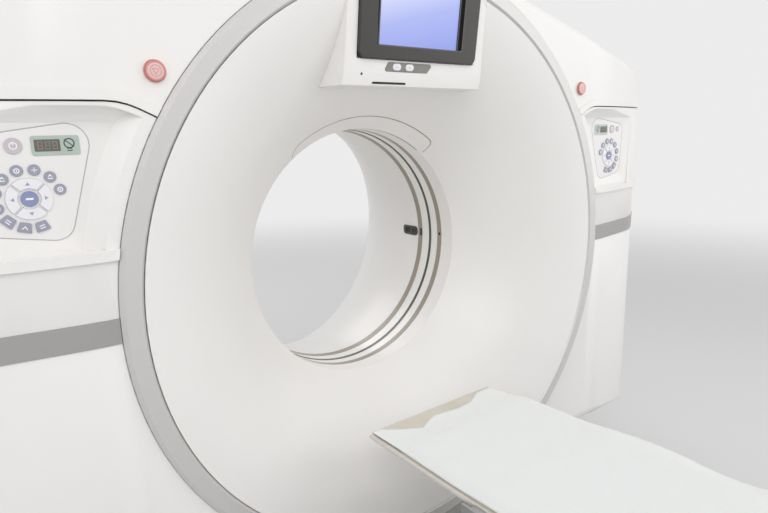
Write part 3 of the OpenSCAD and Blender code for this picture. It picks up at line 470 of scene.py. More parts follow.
def mattress_vinyl():
    # Polyurethane-coated polyester, calendered: warm grey, a soft leathery grain, wiped clean
    base = colours().mattress
    material, tree, shader = woven("coated_polyester", base, 2.5 * MM, 0.05 * MM, 0.5, 0.15)
    tint(tree, shader, grain(tree, 70 * MM, 3).outputs[0], scaled(base, 0.93), scaled(base, 1.05))
    return material


def sheet_nonwoven():
    # Spun-bonded polypropylene: bright white, matt, a little light passes through it
    base = colours().sheet
    material, tree, shader = woven("spunbond_polypropylene", base, 2 * MM, 0.03 * MM, 0.75, 0.2)
    fibre = grain(tree, 5 * MM, 4).outputs[0]
    tint(tree, shader, fibre, scaled(base, 0.975), scaled(base, 1.0))
    shader.inputs["Subsurface Weight"].default_value = 0.1
    shader.inputs["Subsurface Scale"].default_value = 3 * MM
    return material


FINISHES = {
    "cover_white": moulded_cover, "satin_silver": silver_lacquer, "window_clear": window_film,
    "bore_tape": printed_band, "sensor_black": dark_window, "panel_white": membrane_panel,
    "lcd_glass": display_glass, "bezel_grey": moulded_bezel, "screen_glow": lit_screen,
    "keypad_grey": keypad_strip, "stop_red": stop_plastic, "key_grey": key_plastic,
    "frame_grey": frame_paint, "cast_grey": painted_casting, "drum_alloy": turned_alloy,
    "steel": ground_steel, "rail_steel": brushed_rail, "belt_rubber": belt_rubber,
    "brush_holder": phenolic_holder, "ring_brass": brass_tracks, "box_grey": box_enamel,
    "plinth_grey": plinth_plastic, "pedal_grey": pedal_rubber, "cradle_shell": cradle_laminate,
    "mattress_cover": mattress_vinyl, "sheet_cloth": sheet_nonwoven,
}
SLOT_OF = {row["node"]: row["material_slot"] for row in frame["record"]["subparts"]}


@lru_cache(maxsize=None)
def finish(make):
    """The material that the function makes, made once."""
    return make()


# Pieces

def dress(node, make=None):
    """Gives a CAD node its finish."""
    NODES[node].data.materials.clear()
    NODES[node].data.materials.append(finish(make or FINISHES[SLOT_OF[node]]))


def soften(node, width, angle=28, segments=2, broad=None, whole=True):
    """Rounds a CAD node's sharp edges with modifiers: joined corners, whole flats, then a bevel.
    The edges that broad picks are rounded more."""
    obj = NODES[node]
    mesh = obj.data
    if "custom_normal" in mesh.attributes:
        mesh.attributes.remove(mesh.attributes["custom_normal"])
    for name in ("sharp_edge", "sharp_face"):
        if name in mesh.attributes:
            mesh.attributes.remove(mesh.attributes[name])
    mesh.shade_smooth()
    weld = obj.modifiers.new("join_corners", "WELD")
    weld.merge_threshold = 0.02 * MM
    if whole:
        flat = obj.modifiers.new("whole_flats", "DECIMATE")
        flat.decimate_type = "DISSOLVE"
        flat.angle_limit = math.radians(0.4)
    if broad:
        add_bevel(obj, "broad_edges", sizes().broad_edge, 5)
        obj.modifiers["broad_edges"].limit_method = "VGROUP"
        obj.modifiers["broad_edges"].vertex_group = mark_edges(obj, broad)
    add_bevel(obj, "rounded_edges", width, segments)
    obj.modifiers["rounded_edges"].limit_method = "ANGLE"
    obj.modifiers["rounded_edges"].angle_limit = math.radians(angle)
    if broad:
        steady = obj.modifiers.new("steady_weights", "VERTEX_WEIGHT_EDIT")
        steady.vertex_group = obj.modifiers["broad_edges"].vertex_group


def add_bevel(obj, name, width, segments):
    bevel = obj.modifiers.new(name, "BEVEL")
    bevel.width = width
    bevel.segments = segments
    bevel.use_clamp_overlap = True
    bevel.harden_normals = True
    bevel.miter_outer = "MITER_ARC"


def mark_edges(obj, wanted):
    """Puts the corners of the outer edges that are wanted in a vertex group, and gives its name."""
    bm = bmesh.new()
    bm.from_mesh(obj.data)
    bmesh.ops.remove_doubles(bm, verts=bm.verts, dist=0.02 * MM)
    spots = KDTree(2 * len(bm.edges))
    for edge in bm.edges:
        if len(edge.link_faces) == 2 and edge.is_convex and edge.calc_face_angle() > math.radians(40):
            normals = [face.normal.copy() for face in edge.link_faces]
            if wanted((edge.verts[0].co + edge.verts[1].co) / 2, *sorted(normals, key=lambda n: abs(n.z))):
                for vert in edge.verts:
                    spots.insert(vert.co, vert.index)
    spots.balance()
    bm.free()
    group = obj.vertex_groups.new(name="broad_edges")
    near = []
    for vert in obj.data.vertices:
        spot, index, distance = spots.find(vert.co)
        if spot and distance < 0.03 * MM:
            near.append(vert.index)
    group.add(near, 1.0, "REPLACE")
    return group.name


def looks_out(spot, normal):
    """Whether a wall's normal looks away from the covers' inside."""
    return normal.y < -0.2 or normal.x * math.copysign(1, spot.x) > 0.6


def ledge_edge(spot, wall, level):
    """Both outer edges of the ledge's nose."""
    nose = abs(spot.z - LEDGE_Z) < 12 * MM and looks_out(spot, wall)
    return nose and abs(level.z) > 0.8 and abs(wall.z) < 0.3


def add_piece(name, bm, material, body, smooth=True):
    """Makes an object of the mesh, with its material, and lets it ride on the body."""
    bmesh.ops.recalc_face_normals(bm, faces=bm.faces)
    mesh = bpy.data.meshes.new(name)
    bm.to_mesh(mesh)
    bm.free()
    mesh.materials.append(material)
    for polygon in mesh.polygons:
        polygon.use_smooth = smooth
    if smooth:
        mesh.set_sharp_from_angle(angle=math.radians(38))
    obj = bpy.data.objects.new(name, mesh)
    bpy.context.scene.collection.objects.link(obj)
    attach(obj, body)
    return obj


def flat_frame(origin, across, up, outwards):
    """The matrix of a flat drawing: x across, y up, z outwards from the surface."""
    matrix = Matrix((across, up, outwards)).transposed().to_4x4()
    matrix.translation = origin
    return matrix


def add_prism(bm, outline, place, low, high, rounding=0.0):
    """A prism of a flat outline between two heights, its upper edge rounded."""
    count = len(outline)
    lower = [bm.verts.new(place @ Vector((x, y, low))) for x, y in outline]
    upper = [bm.verts.new(place @ Vector((x, y, high))) for x, y in outline]
    bm.faces.new(lower)
    top = bm.faces.new(list(reversed(upper)))
    for i in range(count):
        bm.faces.new((lower[i], upper[i], upper[(i + 1) % count], lower[(i + 1) % count]))
    if rounding:
        bmesh.ops.bevel(bm, geom=list(top.edges), offset=rounding, segments=2, affect="EDGES", profile=0.6)


def add_ring(bm, place, profile, around=48, closed=True):
    """A turned ring: the profile's points are radius and height above the surface."""
    rows = []
    for i in range(around):
        angle = math.tau * i / around
        rows.append([bm.verts.new(place @ Vector((r * math.cos(angle), r * math.sin(angle), h)))
                     for r, h in profile])
    count = len(profile)
    for i in range(around):
        a, b = rows[i], rows[(i + 1) % around]
        for j in range(count if closed else count - 1):
            k = (j + 1) % count
            bm.faces.new((a[j], a[k], b[k], b[j]))
    return rows


def add_dome(bm, place, profile, around=40):
    """A turned cap, closed at its middle: the profile runs from the outer edge to the last radius."""
    rows = add_ring(bm, place, profile, around, closed=False)
    bm.faces.new([row[-1] for row in rows])
    bm.faces.new([row[0] for row in rows])


def add_tube(bm, points, radius, sides=8, closed=False):
    """A round bead along points."""
    count = len(points)
    rows = []
    for i, point in enumerate(points):
        before = points[i - 1] if i or closed else points[i]
        after = points[(i + 1) % count] if i < count - 1 or closed else points[i]
        along = (after - before).normalized()
        side = along.orthogonal().normalized() if i == 0 else (side - along * side.dot(along)).normalized()
        up = along.cross(side)
        rows.append([bm.verts.new(point + radius * (math.cos(math.tau * k / sides) * side
                                                    + math.sin(math.tau * k / sides) * up))
                     for k in range(sides)])
    for i in range(count if closed else count - 1):
        a, b = rows[i], rows[(i + 1) % count]
        for k in range(sides):
            m = (k + 1) % sides
            bm.faces.new((a[k], b[k], b[m], a[m]))
    if not closed:
        bm.faces.new(rows[0])
        bm.faces.new(rows[-1])


def rounded_rect(x0, y0, x1, y1, r, steps=5):
    """The outline of a rectangle with round corners, anticlockwise."""
    points = []
    corners = ((x1 - r, y0 + r, -90), (x1 - r, y1 - r, 0), (x0 + r, y1 - r, 90), (x0 + r, y0 + r, 180))
    for cx, cy, start in corners:
        for k in range(steps + 1):
            angle = math.radians(start + 90 * k / steps)
            points.append((cx + r * math.cos(angle), cy + r * math.sin(angle)))
    return points


def circle(x, y, r, steps=32):
    angles = [math.tau * k / steps for k in range(steps)]
    return [(x + r * math.cos(a), y + r * math.sin(a)) for a in angles]


def add_stroke(bm, points, width, place, low, high, closed=False):
    """A flat line of that width along points, as a thin raised strip."""
    flat = [Vector((*p, 0)) for p in points]
    count = len(flat)
    left, right = [], []
    for i, point in enumerate(flat):
        ways = []
        if i or closed:
            ways.append((point - flat[i - 1]).normalized())
        if i < count - 1 or closed:
            ways.append((flat[(i + 1) % count] - point).normalized())
        way = sum(ways, Vector()).normalized()
        side = Vector((-way.y, way.x, 0))
        side *= width / 2 / max(0.5, side.dot(Vector((-ways[0].y, ways[0].x, 0))))
        left.append(point + side)
        right.append(point - side)
    rows = [[bm.verts.new(place @ (p + Vector((0, 0, h)))) for h, p in
             ((low, a), (high, a), (high, b), (low, b))] for a, b in zip(left, right)]
    for i in range(count if closed else count - 1):
        a, b = rows[i], rows[(i + 1) % count]
        for k in range(4):
            m = (k + 1) % 4
            bm.faces.new((a[k], b[k], b[m], a[m]))
    if not closed:
        bm.faces.new(rows[0])
        bm.faces.new(rows[-1])


def fillet(corners, step=10):
    """A flat outline with round corners. A corner is x, y, radius, and the outline runs anticlockwise."""
    points = []
    count = len(corners)
    for i, (x, y, r) in enumerate(corners):
        here = Vector((x, y))
        into = (here - Vector(corners[i - 1][:2])).normalized()
        out = (Vector(corners[(i + 1) % count][:2]) - here).normalized()
        sweep = into.angle_signed(out) * -1
        if r == 0 or abs(sweep) < 0.01:
            points.append((x, y))
            continue
        start = here - into * r * math.tan(abs(sweep) / 2)
        centre = start + Vector((-into.y, into.x)) * math.copysign(r, sweep)
        steps = max(2, round(math.degrees(abs(sweep)) / step))
        for k in range(steps + 1):
            spoke = start - centre
            spoke.rotate(Matrix.Rotation(sweep * k / steps, 2))
            points.append(tuple(centre + spoke))
    return points


def drape(bm, direction, *nodes):
    """Lays a flat drawing on CAD nodes: each corner keeps its height above the surface met that way."""
    axis = max(range(3), key=lambda i: abs(direction[i]))
    way = Vector(direction)
    tree = surface_of(*nodes)
    for vert in bm.verts:
        height = abs(vert.co[axis]) * (-1 if vert.co[axis] * way[axis] > 0 else 1)
        origin = vert.co.copy()
        origin[axis] = 0
        hit = tree.ray_cast(origin - way * 5, way)[0]
        if hit is None:
            raise RuntimeError(f"a fitting reaches past the edge of {nodes}")
        vert.co = hit - way * height


@lru_cache(maxsize=None)
def surface_of(*nodes):
    corners, faces = [], []
    for node in nodes:
        mesh = NODES[node].data
        faces += [[len(corners) + index for index in p.vertices] for p in mesh.polygons]
        corners += [v.co.copy() for v in mesh.vertices]
    return BVHTree.FromPolygons(corners, faces)


# Places on the scanner

def middle(node):
    low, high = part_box(node)
    return (low + high) / 2


PANEL_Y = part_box("panel_displays")[0].y + 1.5 * MM
PAD = Vector(((middle("right_key_in").x + middle("right_key_out").x) / 2,
              (middle("right_key_up").z + middle("right_key_down").z) / 2))
LEAN = math.radians(8)
LEDGE_Z = ISO + 138 * MM


def panel_frame(side):
    """The flat drawing of a control panel: x from the middle of its arrow pad outwards, y up."""
    sign = SIDES[side]
    return flat_frame((sign * PAD.x, PANEL_Y, PAD.y), (sign, 0, 0), (0, 0, 1), (0, -1, 0))


def console_frame():
    """The flat drawing of the display: x to the right, y up from the bezel's lower edge."""
    low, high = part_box("display_bezel")
    origin = (0, high.y - 12 * MM * math.cos(LEAN), low.z + 8 * MM * math.sin(LEAN))
    return flat_frame(origin, (1, 0, 0), (0, -math.sin(LEAN), math.cos(LEAN)),
                      (0, -math.cos(LEAN), -math.sin(LEAN)))


def scaled_points(points):
    return [(x * MM, y * MM) for x, y in points]


# The operators

class ScannerOperator:
    """What the operators share."""
    bl_options = {"REGISTER", "UNDO"}

    def execute(self, context):
        self.make(context)
        return {"FINISHED"}


class DressCovers(ScannerOperator, bpy.types.Operator):
    """Paints the moulded covers, the trim ring and the side bands, and rounds their edges"""
    bl_idname = "scanner.covers"
    bl_label = "Covers"

    def make(self, context):
        edge = sizes().cover_edge
        broad = {"left_lower_cover": ledge_edge, "right_lower_cover": ledge_edge}
        for node in ("front_dish", "crescent_cover", "rear_flare", "rear_cover", "upper_cover",
                     "console_housing", *broad):
            dress(node)
            soften(node, edge, broad=broad.get(node))
        dress("trim_ring")
        soften("trim_ring", 1.5 * MM, whole=False)
        dress("side_bands", band_lacquer_painted_shade)
        soften("side_bands", 0.6 * MM)
        bend = [(r * MM, math.radians(a)) for r, a in ((354, 38.6), (366, 38.2), (376, 37.2), (381, 35.8))]
        arc = [(382 * MM, math.radians(a)) for a in range(34, -35, -2)]
        line = bend + arc + [(r, -a) for r, a in reversed(bend)]
        bm = bmesh.new()
        points = [(r * math.sin(a), r * math.cos(a)) for r, a in line]
        place = flat_frame((0, 0, ISO), (1, 0, 0), (0, 0, 1), (0, -1, 0))
        # A dark line along the crescent cover's joint: painted shade in the gap
        add_stroke(bm, points, 1.8 * MM, place, -0.4 * MM, 0.25 * MM)
        drape(bm, (0, 1, 0), "front_dish", "crescent_cover")
        add_piece("crescent_seam", bm, finish(seam_line), "gantry")


class DressBore(ScannerOperator, bpy.types.Operator):
    """Finishes the bore's film, its printed bands and the side sensor with its small windows"""
    bl_idname = "scanner.bore"
    bl_label = "Bore lining"

    def make(self, context):
        for node in ("scan_window", "bore_bands", "bore_sensor"):
            dress(node)
        soften("bore_sensor", 1.2 * MM)
        low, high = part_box("bore_sensor")
        face = flat_frame((low.x, (low.y + high.y) / 2, ISO), (0, 1, 0), (0, 0, 1), (-1, 0, 0))
        bm = bmesh.new()
        for along in (-22, 14):
            place = face @ Matrix.Translation((along * MM, 0, 0))
            profile = ((9, -6), (9, 0.6), (7.6, 0.6), (7.2, -6))
            add_ring(bm, place, scaled_points(profile))
        add_piece("sensor_lens_rims", bm, finish(moulded_bezel), "gantry")
        bm = bmesh.new()
        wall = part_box("bore_bands")[1].x - 1.15 * MM
        marks = ((47, 0, 12, 26), (-47, 4, 9, 9), (116, -56, 14, 7), (116, -72, 9, 4))
        for along, up, width, height in marks:
            tilt = math.asin(up * MM / wall)
            spot = Vector((wall * math.cos(tilt), along * MM, ISO + up * MM))
            if along > 61:
                spot.x += 5 * MM
            place = flat_frame(spot, (0, 1, 0), (-math.sin(tilt), 0, math.cos(tilt)),
                               (-math.cos(tilt), 0, -math.sin(tilt)))
            outline = rounded_rect(-width / 2, -height / 2, width / 2, height / 2, 1.5)
            add_prism(bm, scaled_points(outline), place, -3 * MM, 0.5 * MM, 0.2 * MM)
        add_piece("bore_light_windows", bm, finish(dark_window), "gantry")


ARROW = ((-3.4, -2), (3.4, -2), (0, 3.2))


class DressPanels(ScannerOperator, bpy.types.Operator):
    """Finishes both control panels: key caps, marks, the border line and the small display"""
    bl_idname = "scanner.panels"
    bl_label = "Control panels"

    def make(self, context):
        dress("panel_displays")
        soften("panel_displays", 0.5 * MM)
        for side in SIDES:
            dress(f"{side}_panel")
            soften(f"{side}_panel", 0.5 * MM)
            place = panel_frame(side)
            self.outline(side, place)
            self.caps(side, place)
            self.marks(side, place)
            self.display(side, place)
            self.pad(side, place)

    def outline(self, side, place):
        corners = ((-53.3, -77.2, 29.3), (65.2, -56.3, 27.3), (75.2, 100.3, 29.3), (-113, 128, 34.3))
        bm = bmesh.new()
        points = fillet([(x * MM, y * MM, r * MM) for x, y, r in corners])
        add_stroke(bm, points, 1.3 * MM, place, -0.5 * MM, 0.12 * MM, closed=True)
        add_piece(f"{side}_panel_outline", bm, finish(grey_ink), "gantry")

    def keys(self):
        """The places of the seven round keys and of the three keys below them."""
        around = [math.radians(165 - 30 * k) for k in range(7)]
        below = [math.radians(-45 - 30 * k) for k in range(3)]
        return around, below

    def caps(self, side, place):
        around, below = self.keys()
        self.cap(f"{side}_middle_key", blue_key, place, [(0, 0, 12.9)], 2.9)
        self.cap(f"{side}_upper_keys", warm_key, place, [(12, 86, 12.9), (44, 86, 8.3)], 2.4)
        bm = bmesh.new()
        for a in around:
            self.dome(bm, place, 48 * math.cos(a), 48 * math.sin(a), 9.3, 2.4)
        for a in below:
            outline = [(c * math.cos(a) - d * math.sin(a), c * math.sin(a) + d * math.cos(a))
                       for c, d in ((39.7, -8.3), (56.3, -11.3), (56.3, 11.3), (39.7, 8.3))]
            corners = [(x * MM, y * MM, 2 * MM) for x, y in outline]
            add_prism(bm, fillet(corners), place, -1 * MM, 2.2 * MM, 0.6 * MM)
        add_piece(f"{side}_key_caps", bm, finish(key_plastic), "gantry")

    def cap(self, name, make, place, spots, rise):
        bm = bmesh.new()
        for x, y, r in spots:
            self.dome(bm, place, x, y, r, rise)
        add_piece(name, bm, finish(make), "gantry")

    def dome(self, bm, place, x, y, r, rise):
        profile = [(r, -1), (r, rise - 0.7), (r - 0.7, rise), (r * 0.6, rise - 0.15), (0.8, rise - 0.3)]
        add_dome(bm, place @ Matrix.Translation((x * MM, y * MM, 0)), [(a * MM, b * MM) for a, b in profile])

    def marks(self, side, place):
        around, below = self.keys()
        bm = bmesh.new()

        def stroke(points, x, y, lift, width=1.5, closed=False, turn=0.0):
            spun = Matrix.Translation((x * MM, y * MM, 0)) @ Matrix.Rotation(turn, 4, "Z")
            add_stroke(bm, scaled_points(points), width * MM, place @ spun, (lift - 0.2) * MM,
                       (lift + 0.15) * MM, closed)

        for k, a in enumerate(around):
            x, y = 48 * math.cos(a), 48 * math.sin(a)
            if k % 3 == 0:
                stroke(circle(0, 0, 3.6, 16), x, y, 2.25, closed=True)
                stroke(((0, -1.6), (0, 1.6)), x, y, 2.2)
            elif k % 3 == 1:
                stroke(((-4, -2.6), (4, -2.6)), x, y, 2.25)
                stroke(((-2.6, 0.4), (0, 3.4), (2.6, 0.4)), x, y, 2.25)
            else:
                stroke(((-3.8, 0), (3.8, 0)), x, y, 2.25)
                stroke(((0, -3.8), (0, 3.8)), x, y, 2.25)
        for k, a in enumerate(below):
            x, y = 49 * math.cos(a), 49 * math.sin(a)
            if k % 2:
                stroke(((-4, -2.4), (0, 2.6), (4, -2.4)), x, y, 2.2, turn=a + math.pi / 2)
            else:
                stroke(((-4.2, -2), (4.2, -2)), x, y, 2.2, turn=a + math.pi / 2)
                stroke(((-4.2, 2), (4.2, 2)), x, y, 2.2, turn=a + math.pi / 2)
        stroke(((-5.5, 0), (5.5, 0)), 0, 0, 2.7, 3.2)
        stroke(circle(0, 0, 5.2, 24), 12, 86, 2.2, 1.4, closed=True)
        stroke(((0, 1), (0, 6.4)), 12, 86, 2.25, 1.4)
        stroke(circle(0, 0, 2.6, 16), 44, 86, 2.2, 1.2, closed=True)
        add_piece(f"{side}_key_marks", bm, finish(white_ink), "gantry")

    def display(self, side, place):
        bm = bmesh.new()
        add_prism(bm, scaled_points(rounded_rect(-55.5, 75.5, -17.5, 95, 1.5)), place, 0, 1.75 * MM, 0.1 * MM)
        add_piece(f"{side}_display_cell", bm, finish(display_cell), "gantry")
        bm = bmesh.new()
        digits = bmesh.new()
        for x in (-51, -40, -29):
            box = ((x, 79.5), (x + 6, 79.5), (x + 6, 91), (x, 91))
            add_stroke(digits, scaled_points(box), 1.1 * MM, place, 1.6 * MM, 1.85 * MM, closed=True)
            bar = scaled_points(((x, 85.2), (x + 6, 85.2)))
            add_stroke(digits, bar, 1.1 * MM, place, 1.6 * MM, 1.85 * MM)
        add_piece(f"{side}_display_digits", digits, finish(keypad_strip), "gantry")
        round_line = scaled_points(circle(-69, 88, 7.5, 28))
        add_stroke(bm, round_line, 2 * MM, place, 1.3 * MM, 1.7 * MM, closed=True)
        for line in (((-76, 82), (-62, 94)), ((-73, 76), (-65, 76)), ((-73, 79.4), (-65, 79.4))):
            add_stroke(bm, scaled_points(line), 1.6 * MM, place, 1.3 * MM, 1.65 * MM)
        add_piece(f"{side}_display_signs", bm, finish(display_segments), "gantry")

    def pad(self, side, place):
        places = {"up": (0, 24), "in": (-24, 0), "down": (0, -24), "out": (24, 0)}
        for way, (x, y) in places.items():
            node = f"{side}_key_{way}"
            dress(node, petal_plastic)
            soften(node, 0.7 * MM)
            turn = math.atan2(y, x) - math.pi / 2
            spun = place @ Matrix.Translation((x * MM, y * MM, 0)) @ Matrix.Rotation(turn, 4, "Z")
            bm = bmesh.new()
            add_prism(bm, scaled_points(ARROW), spun, 2.8 * MM, 3.15 * MM)
            add_piece(f"{node}_mark", bm, finish(key_plastic), BODY_OF[node])


class DressStops(ScannerOperator, bpy.types.Operator):
    """Builds the emergency stop buttons' domed caps, their rims and the mark on each"""
    bl_idname = "scanner.stops"
    bl_label = "Emergency stops"

    def make(self, context):
        for side in SIDES:
            node = f"{side}_estop"
            dress(node)
            soften(node, 0.8 * MM)
            low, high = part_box(node)
            spot = (low.x + high.x) / 2, low.y, (low.z + high.z) / 2
            place = flat_frame(spot, (1, 0, 0), (0, 0, 1), (0, -1, 0))
            radius = (high.x - low.x) / 2
            profile = ((0.2, -3.5), (0.2, -0.6), (-0.8, 0.4), (-2.6, 0.5), (-3.2, 0.1), (-3.4, -1),
                       (-4, -3.5))
            self.ring(f"{side}_stop_rim", stop_rim, place, radius, profile, BODY_OF[node])
            profile = ((0.6, -6), (0.7, -4.8), (1.2, -4.4), (2, -4.4), (2.7, -5), (2.8, -6.5))
            self.ring(f"{side}_stop_collar", stop_rim, place, radius, profile, "gantry")
            bm = bmesh.new()
            profile = [(radius - 3.3 * MM, -1 * MM), (radius - 3.6 * MM, 0.1 * MM), (radius * 0.55, 0.7 * MM),
                       (radius * 0.3, 0.9 * MM), (0.6 * MM, 0.95 * MM)]
            add_dome(bm, place, profile, 48)
            add_piece(f"{side}_stop_cap", bm, finish(stop_plastic), BODY_OF[node])
            bm = bmesh.new()
            round_line = scaled_points(circle(0, 0, 9.5, 36))
            add_stroke(bm, round_line, 1.1 * MM, place, 0.3 * MM, 0.95 * MM, closed=True)
            triangle = ((-5.6, 3.2), (0, -6.3), (5.6, 3.2))
            add_stroke(bm, scaled_points(triangle), 1.1 * MM, place, 0.6 * MM, 1.15 * MM, closed=True)
            add_piece(f"{side}_stop_mark", bm, finish(stop_rim), BODY_OF[node])

    def ring(self, name, make, place, radius, profile, body):
        bm = bmesh.new()
        add_ring(bm, place, [(radius + r * MM, h * MM) for r, h in profile], 56)
        add_piece(name, bm, finish(make), body)


def seam_line():
    # A dark line along the joint round the crescent cover: painted shade in the gap, its tone varying a
    # little at random
    base = linear("#9A8D83")
    material, tree, shader = start_material("seam_painted_shade", base, 0.5, ior=1.41)
    tint(tree, shader, grain(tree, 40 * MM, 2).outputs[0], scaled(base, 0.85), scaled(base, 1.35))
    return material


def stop_rim():
    # The same polycarbonate, dyed a darker red
    base = scaled(colours().stop, 0.9)
    material, tree, shader = start_material("polycarbonate_red_dark", base, 0.3, ior=1.58)
    tint(tree, shader, grain(tree, 10 * MM, 2).outputs[0], scaled(base, 0.94), scaled(base, 1.04))
    return material


class DressDisplay(ScannerOperator, bpy.types.Operator):
    """Finishes the display: bezel, lit screen with its glass frame, key strip, card slot and microphone"""
    bl_idname = "scanner.display"
    bl_label = "Display console"

    def make(self, context):
        for node, edge in (("display_bezel", 3), ("console_keypad", 0.6)):
            dress(node)
            soften(node, edge * MM)
        dress("display_screen")
        place = console_frame()
        bm = bmesh.new()
        add_stroke(bm, scaled_points(rounded_rect(-128.5, 29.5, 128.5, 192.5, 3)), 3.4 * MM, place, 2 * MM,
                   8.7 * MM, closed=True)
        add_prism(bm, scaled_points(rounded_rect(117, 31.5, 126.5, 190.5, 1)), place, -2.5 * MM, 1.5 * MM)
        add_piece("screen_frame", bm, finish(dark_window), "gantry")
        bm = bmesh.new()
        for x in (-68, -30):
            outline = rounded_rect(x - 12, -22.6, x + 12, -7.6, 7.4)
            add_prism(bm, scaled_points(outline), place, -1 * MM, 3.7 * MM, 0.8 * MM)
        add_piece("console_oval_keys", bm, finish(petal_plastic), "gantry")
        bm = bmesh.new()
        for x in (-68, -30):
            add_stroke(bm, scaled_points(((x - 4, -15), (x + 4, -15))), 1.3 * MM, place, 3.5 * MM, 3.85 * MM)
        add_piece("console_key_marks", bm, finish(grey_ink), "gantry")
        self.slot_and_microphone()

    def slot_and_microphone(self):
        edge = middle("display_bezel").x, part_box("display_bezel")[0].z
        chin = flat_frame((edge[0] - 84 * MM, 0, edge[1] - 50 * MM), (1, 0, 0), (0, 0, 1), (0, -1, 0))
        bm = bmesh.new()
        # The slot's opening is a near-black smoked acrylic strip laid on the chin: painted shade inside the
        # slot
        add_prism(bm, scaled_points(rounded_rect(-49, -2.3, 49, 2.3, 2)), chin, -2 * MM, 0.4 * MM)
        self.lay("card_slot", bm, dark_window, "sensor_black")
        bm = bmesh.new()
        lip = scaled_points(rounded_rect(-50.5, -3.8, 50.5, 3.8, 3))
        add_stroke(bm, lip, 1.4 * MM, chin, -2 * MM, 0.8 * MM, closed=True)
        self.lay("card_slot_lip", bm, moulded_cover, "cover_white")
        bm = bmesh.new()
        spot = chin @ Matrix.Translation((-81 * MM, 18 * MM, 0))
        add_dome(bm, spot, scaled_points(((2.8, -2), (2.8, 0.4), (2.2, 0.7), (0.3, 0.5))), 24)
        self.lay("console_microphone", bm, moulded_bezel, "bezel_grey")

    def lay(self, name, bm, make, slot):
        drape(bm, (0, 1, 0), "console_housing")
        add_piece(name, bm, finish(make), "gantry")


class DressMachine(ScannerOperator, bpy.types.Operator):
    """Finishes what the covers hide: the stand, the tilting frame, the drum and the drive"""
    bl_idname = "scanner.machine"
    bl_label = "Stand, frame and drum"

    def make(self, context):
        edge = sizes().metal_edge
        dress("drive_belt")
        for node in ("gantry_base", "plinth_cover", "tilt_gear_unit", "floor_duct", "tilt_frame",
                     "bearing_outer_race", "drive_motor", "brush_block", "rotor_drum", "rotor_sleeve",
                     "xray_tube", "collimator", "detector_array", "hv_generator", "heat_exchanger",
                     "slip_ring", "counterweight", "motor_pulley"):
            dress(node)
            width = edge * 3 if node in ("plinth_cover", "tilt_gear_unit") else edge
            soften(node, width, whole=node != "gantry_base")


class DressTable(ScannerOperator, bpy.types.Operator):
    """Finishes the table: base, tub, pedals with their ribs, lift arms, frame, skirt, rails and cradle"""
    bl_idname = "scanner.table"
    bl_label = "Table"

    def make(self, context):
        edge = sizes().metal_edge
        for node in ("table_base", "front_lift_arms", "rear_lift_arms", "table_frame", "accessory_rails"):
            dress(node)
            soften(node, edge)
        for node, width in (("table_tub", 1.8), ("table_skirt", 2.2), ("cradle", 5), ("pedal_up", 1.5),
                            ("pedal_down", 1.5)):
            dress(node)
            soften(node, width * MM)
        for node in ("pedal_up", "pedal_down"):
            low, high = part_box(node)
            bm = bmesh.new()
            top = flat_frame(((low.x + high.x) / 2, 0, high.z), (1, 0, 0), (0, 1, 0), (0, 0, 1))
            for k in range(6):
                y = low.y + (24 + 9 * k) * MM
                rib = [(-36 * MM, y), (36 * MM, y), (36 * MM, y + 3 * MM), (-36 * MM, y + 3 * MM)]
                add_prism(bm, rib, top, -0.5 * MM, 1.6 * MM, 0.6 * MM)
            add_piece(f"{node}_ribs", bm, finish(pedal_rubber), BODY_OF[node])


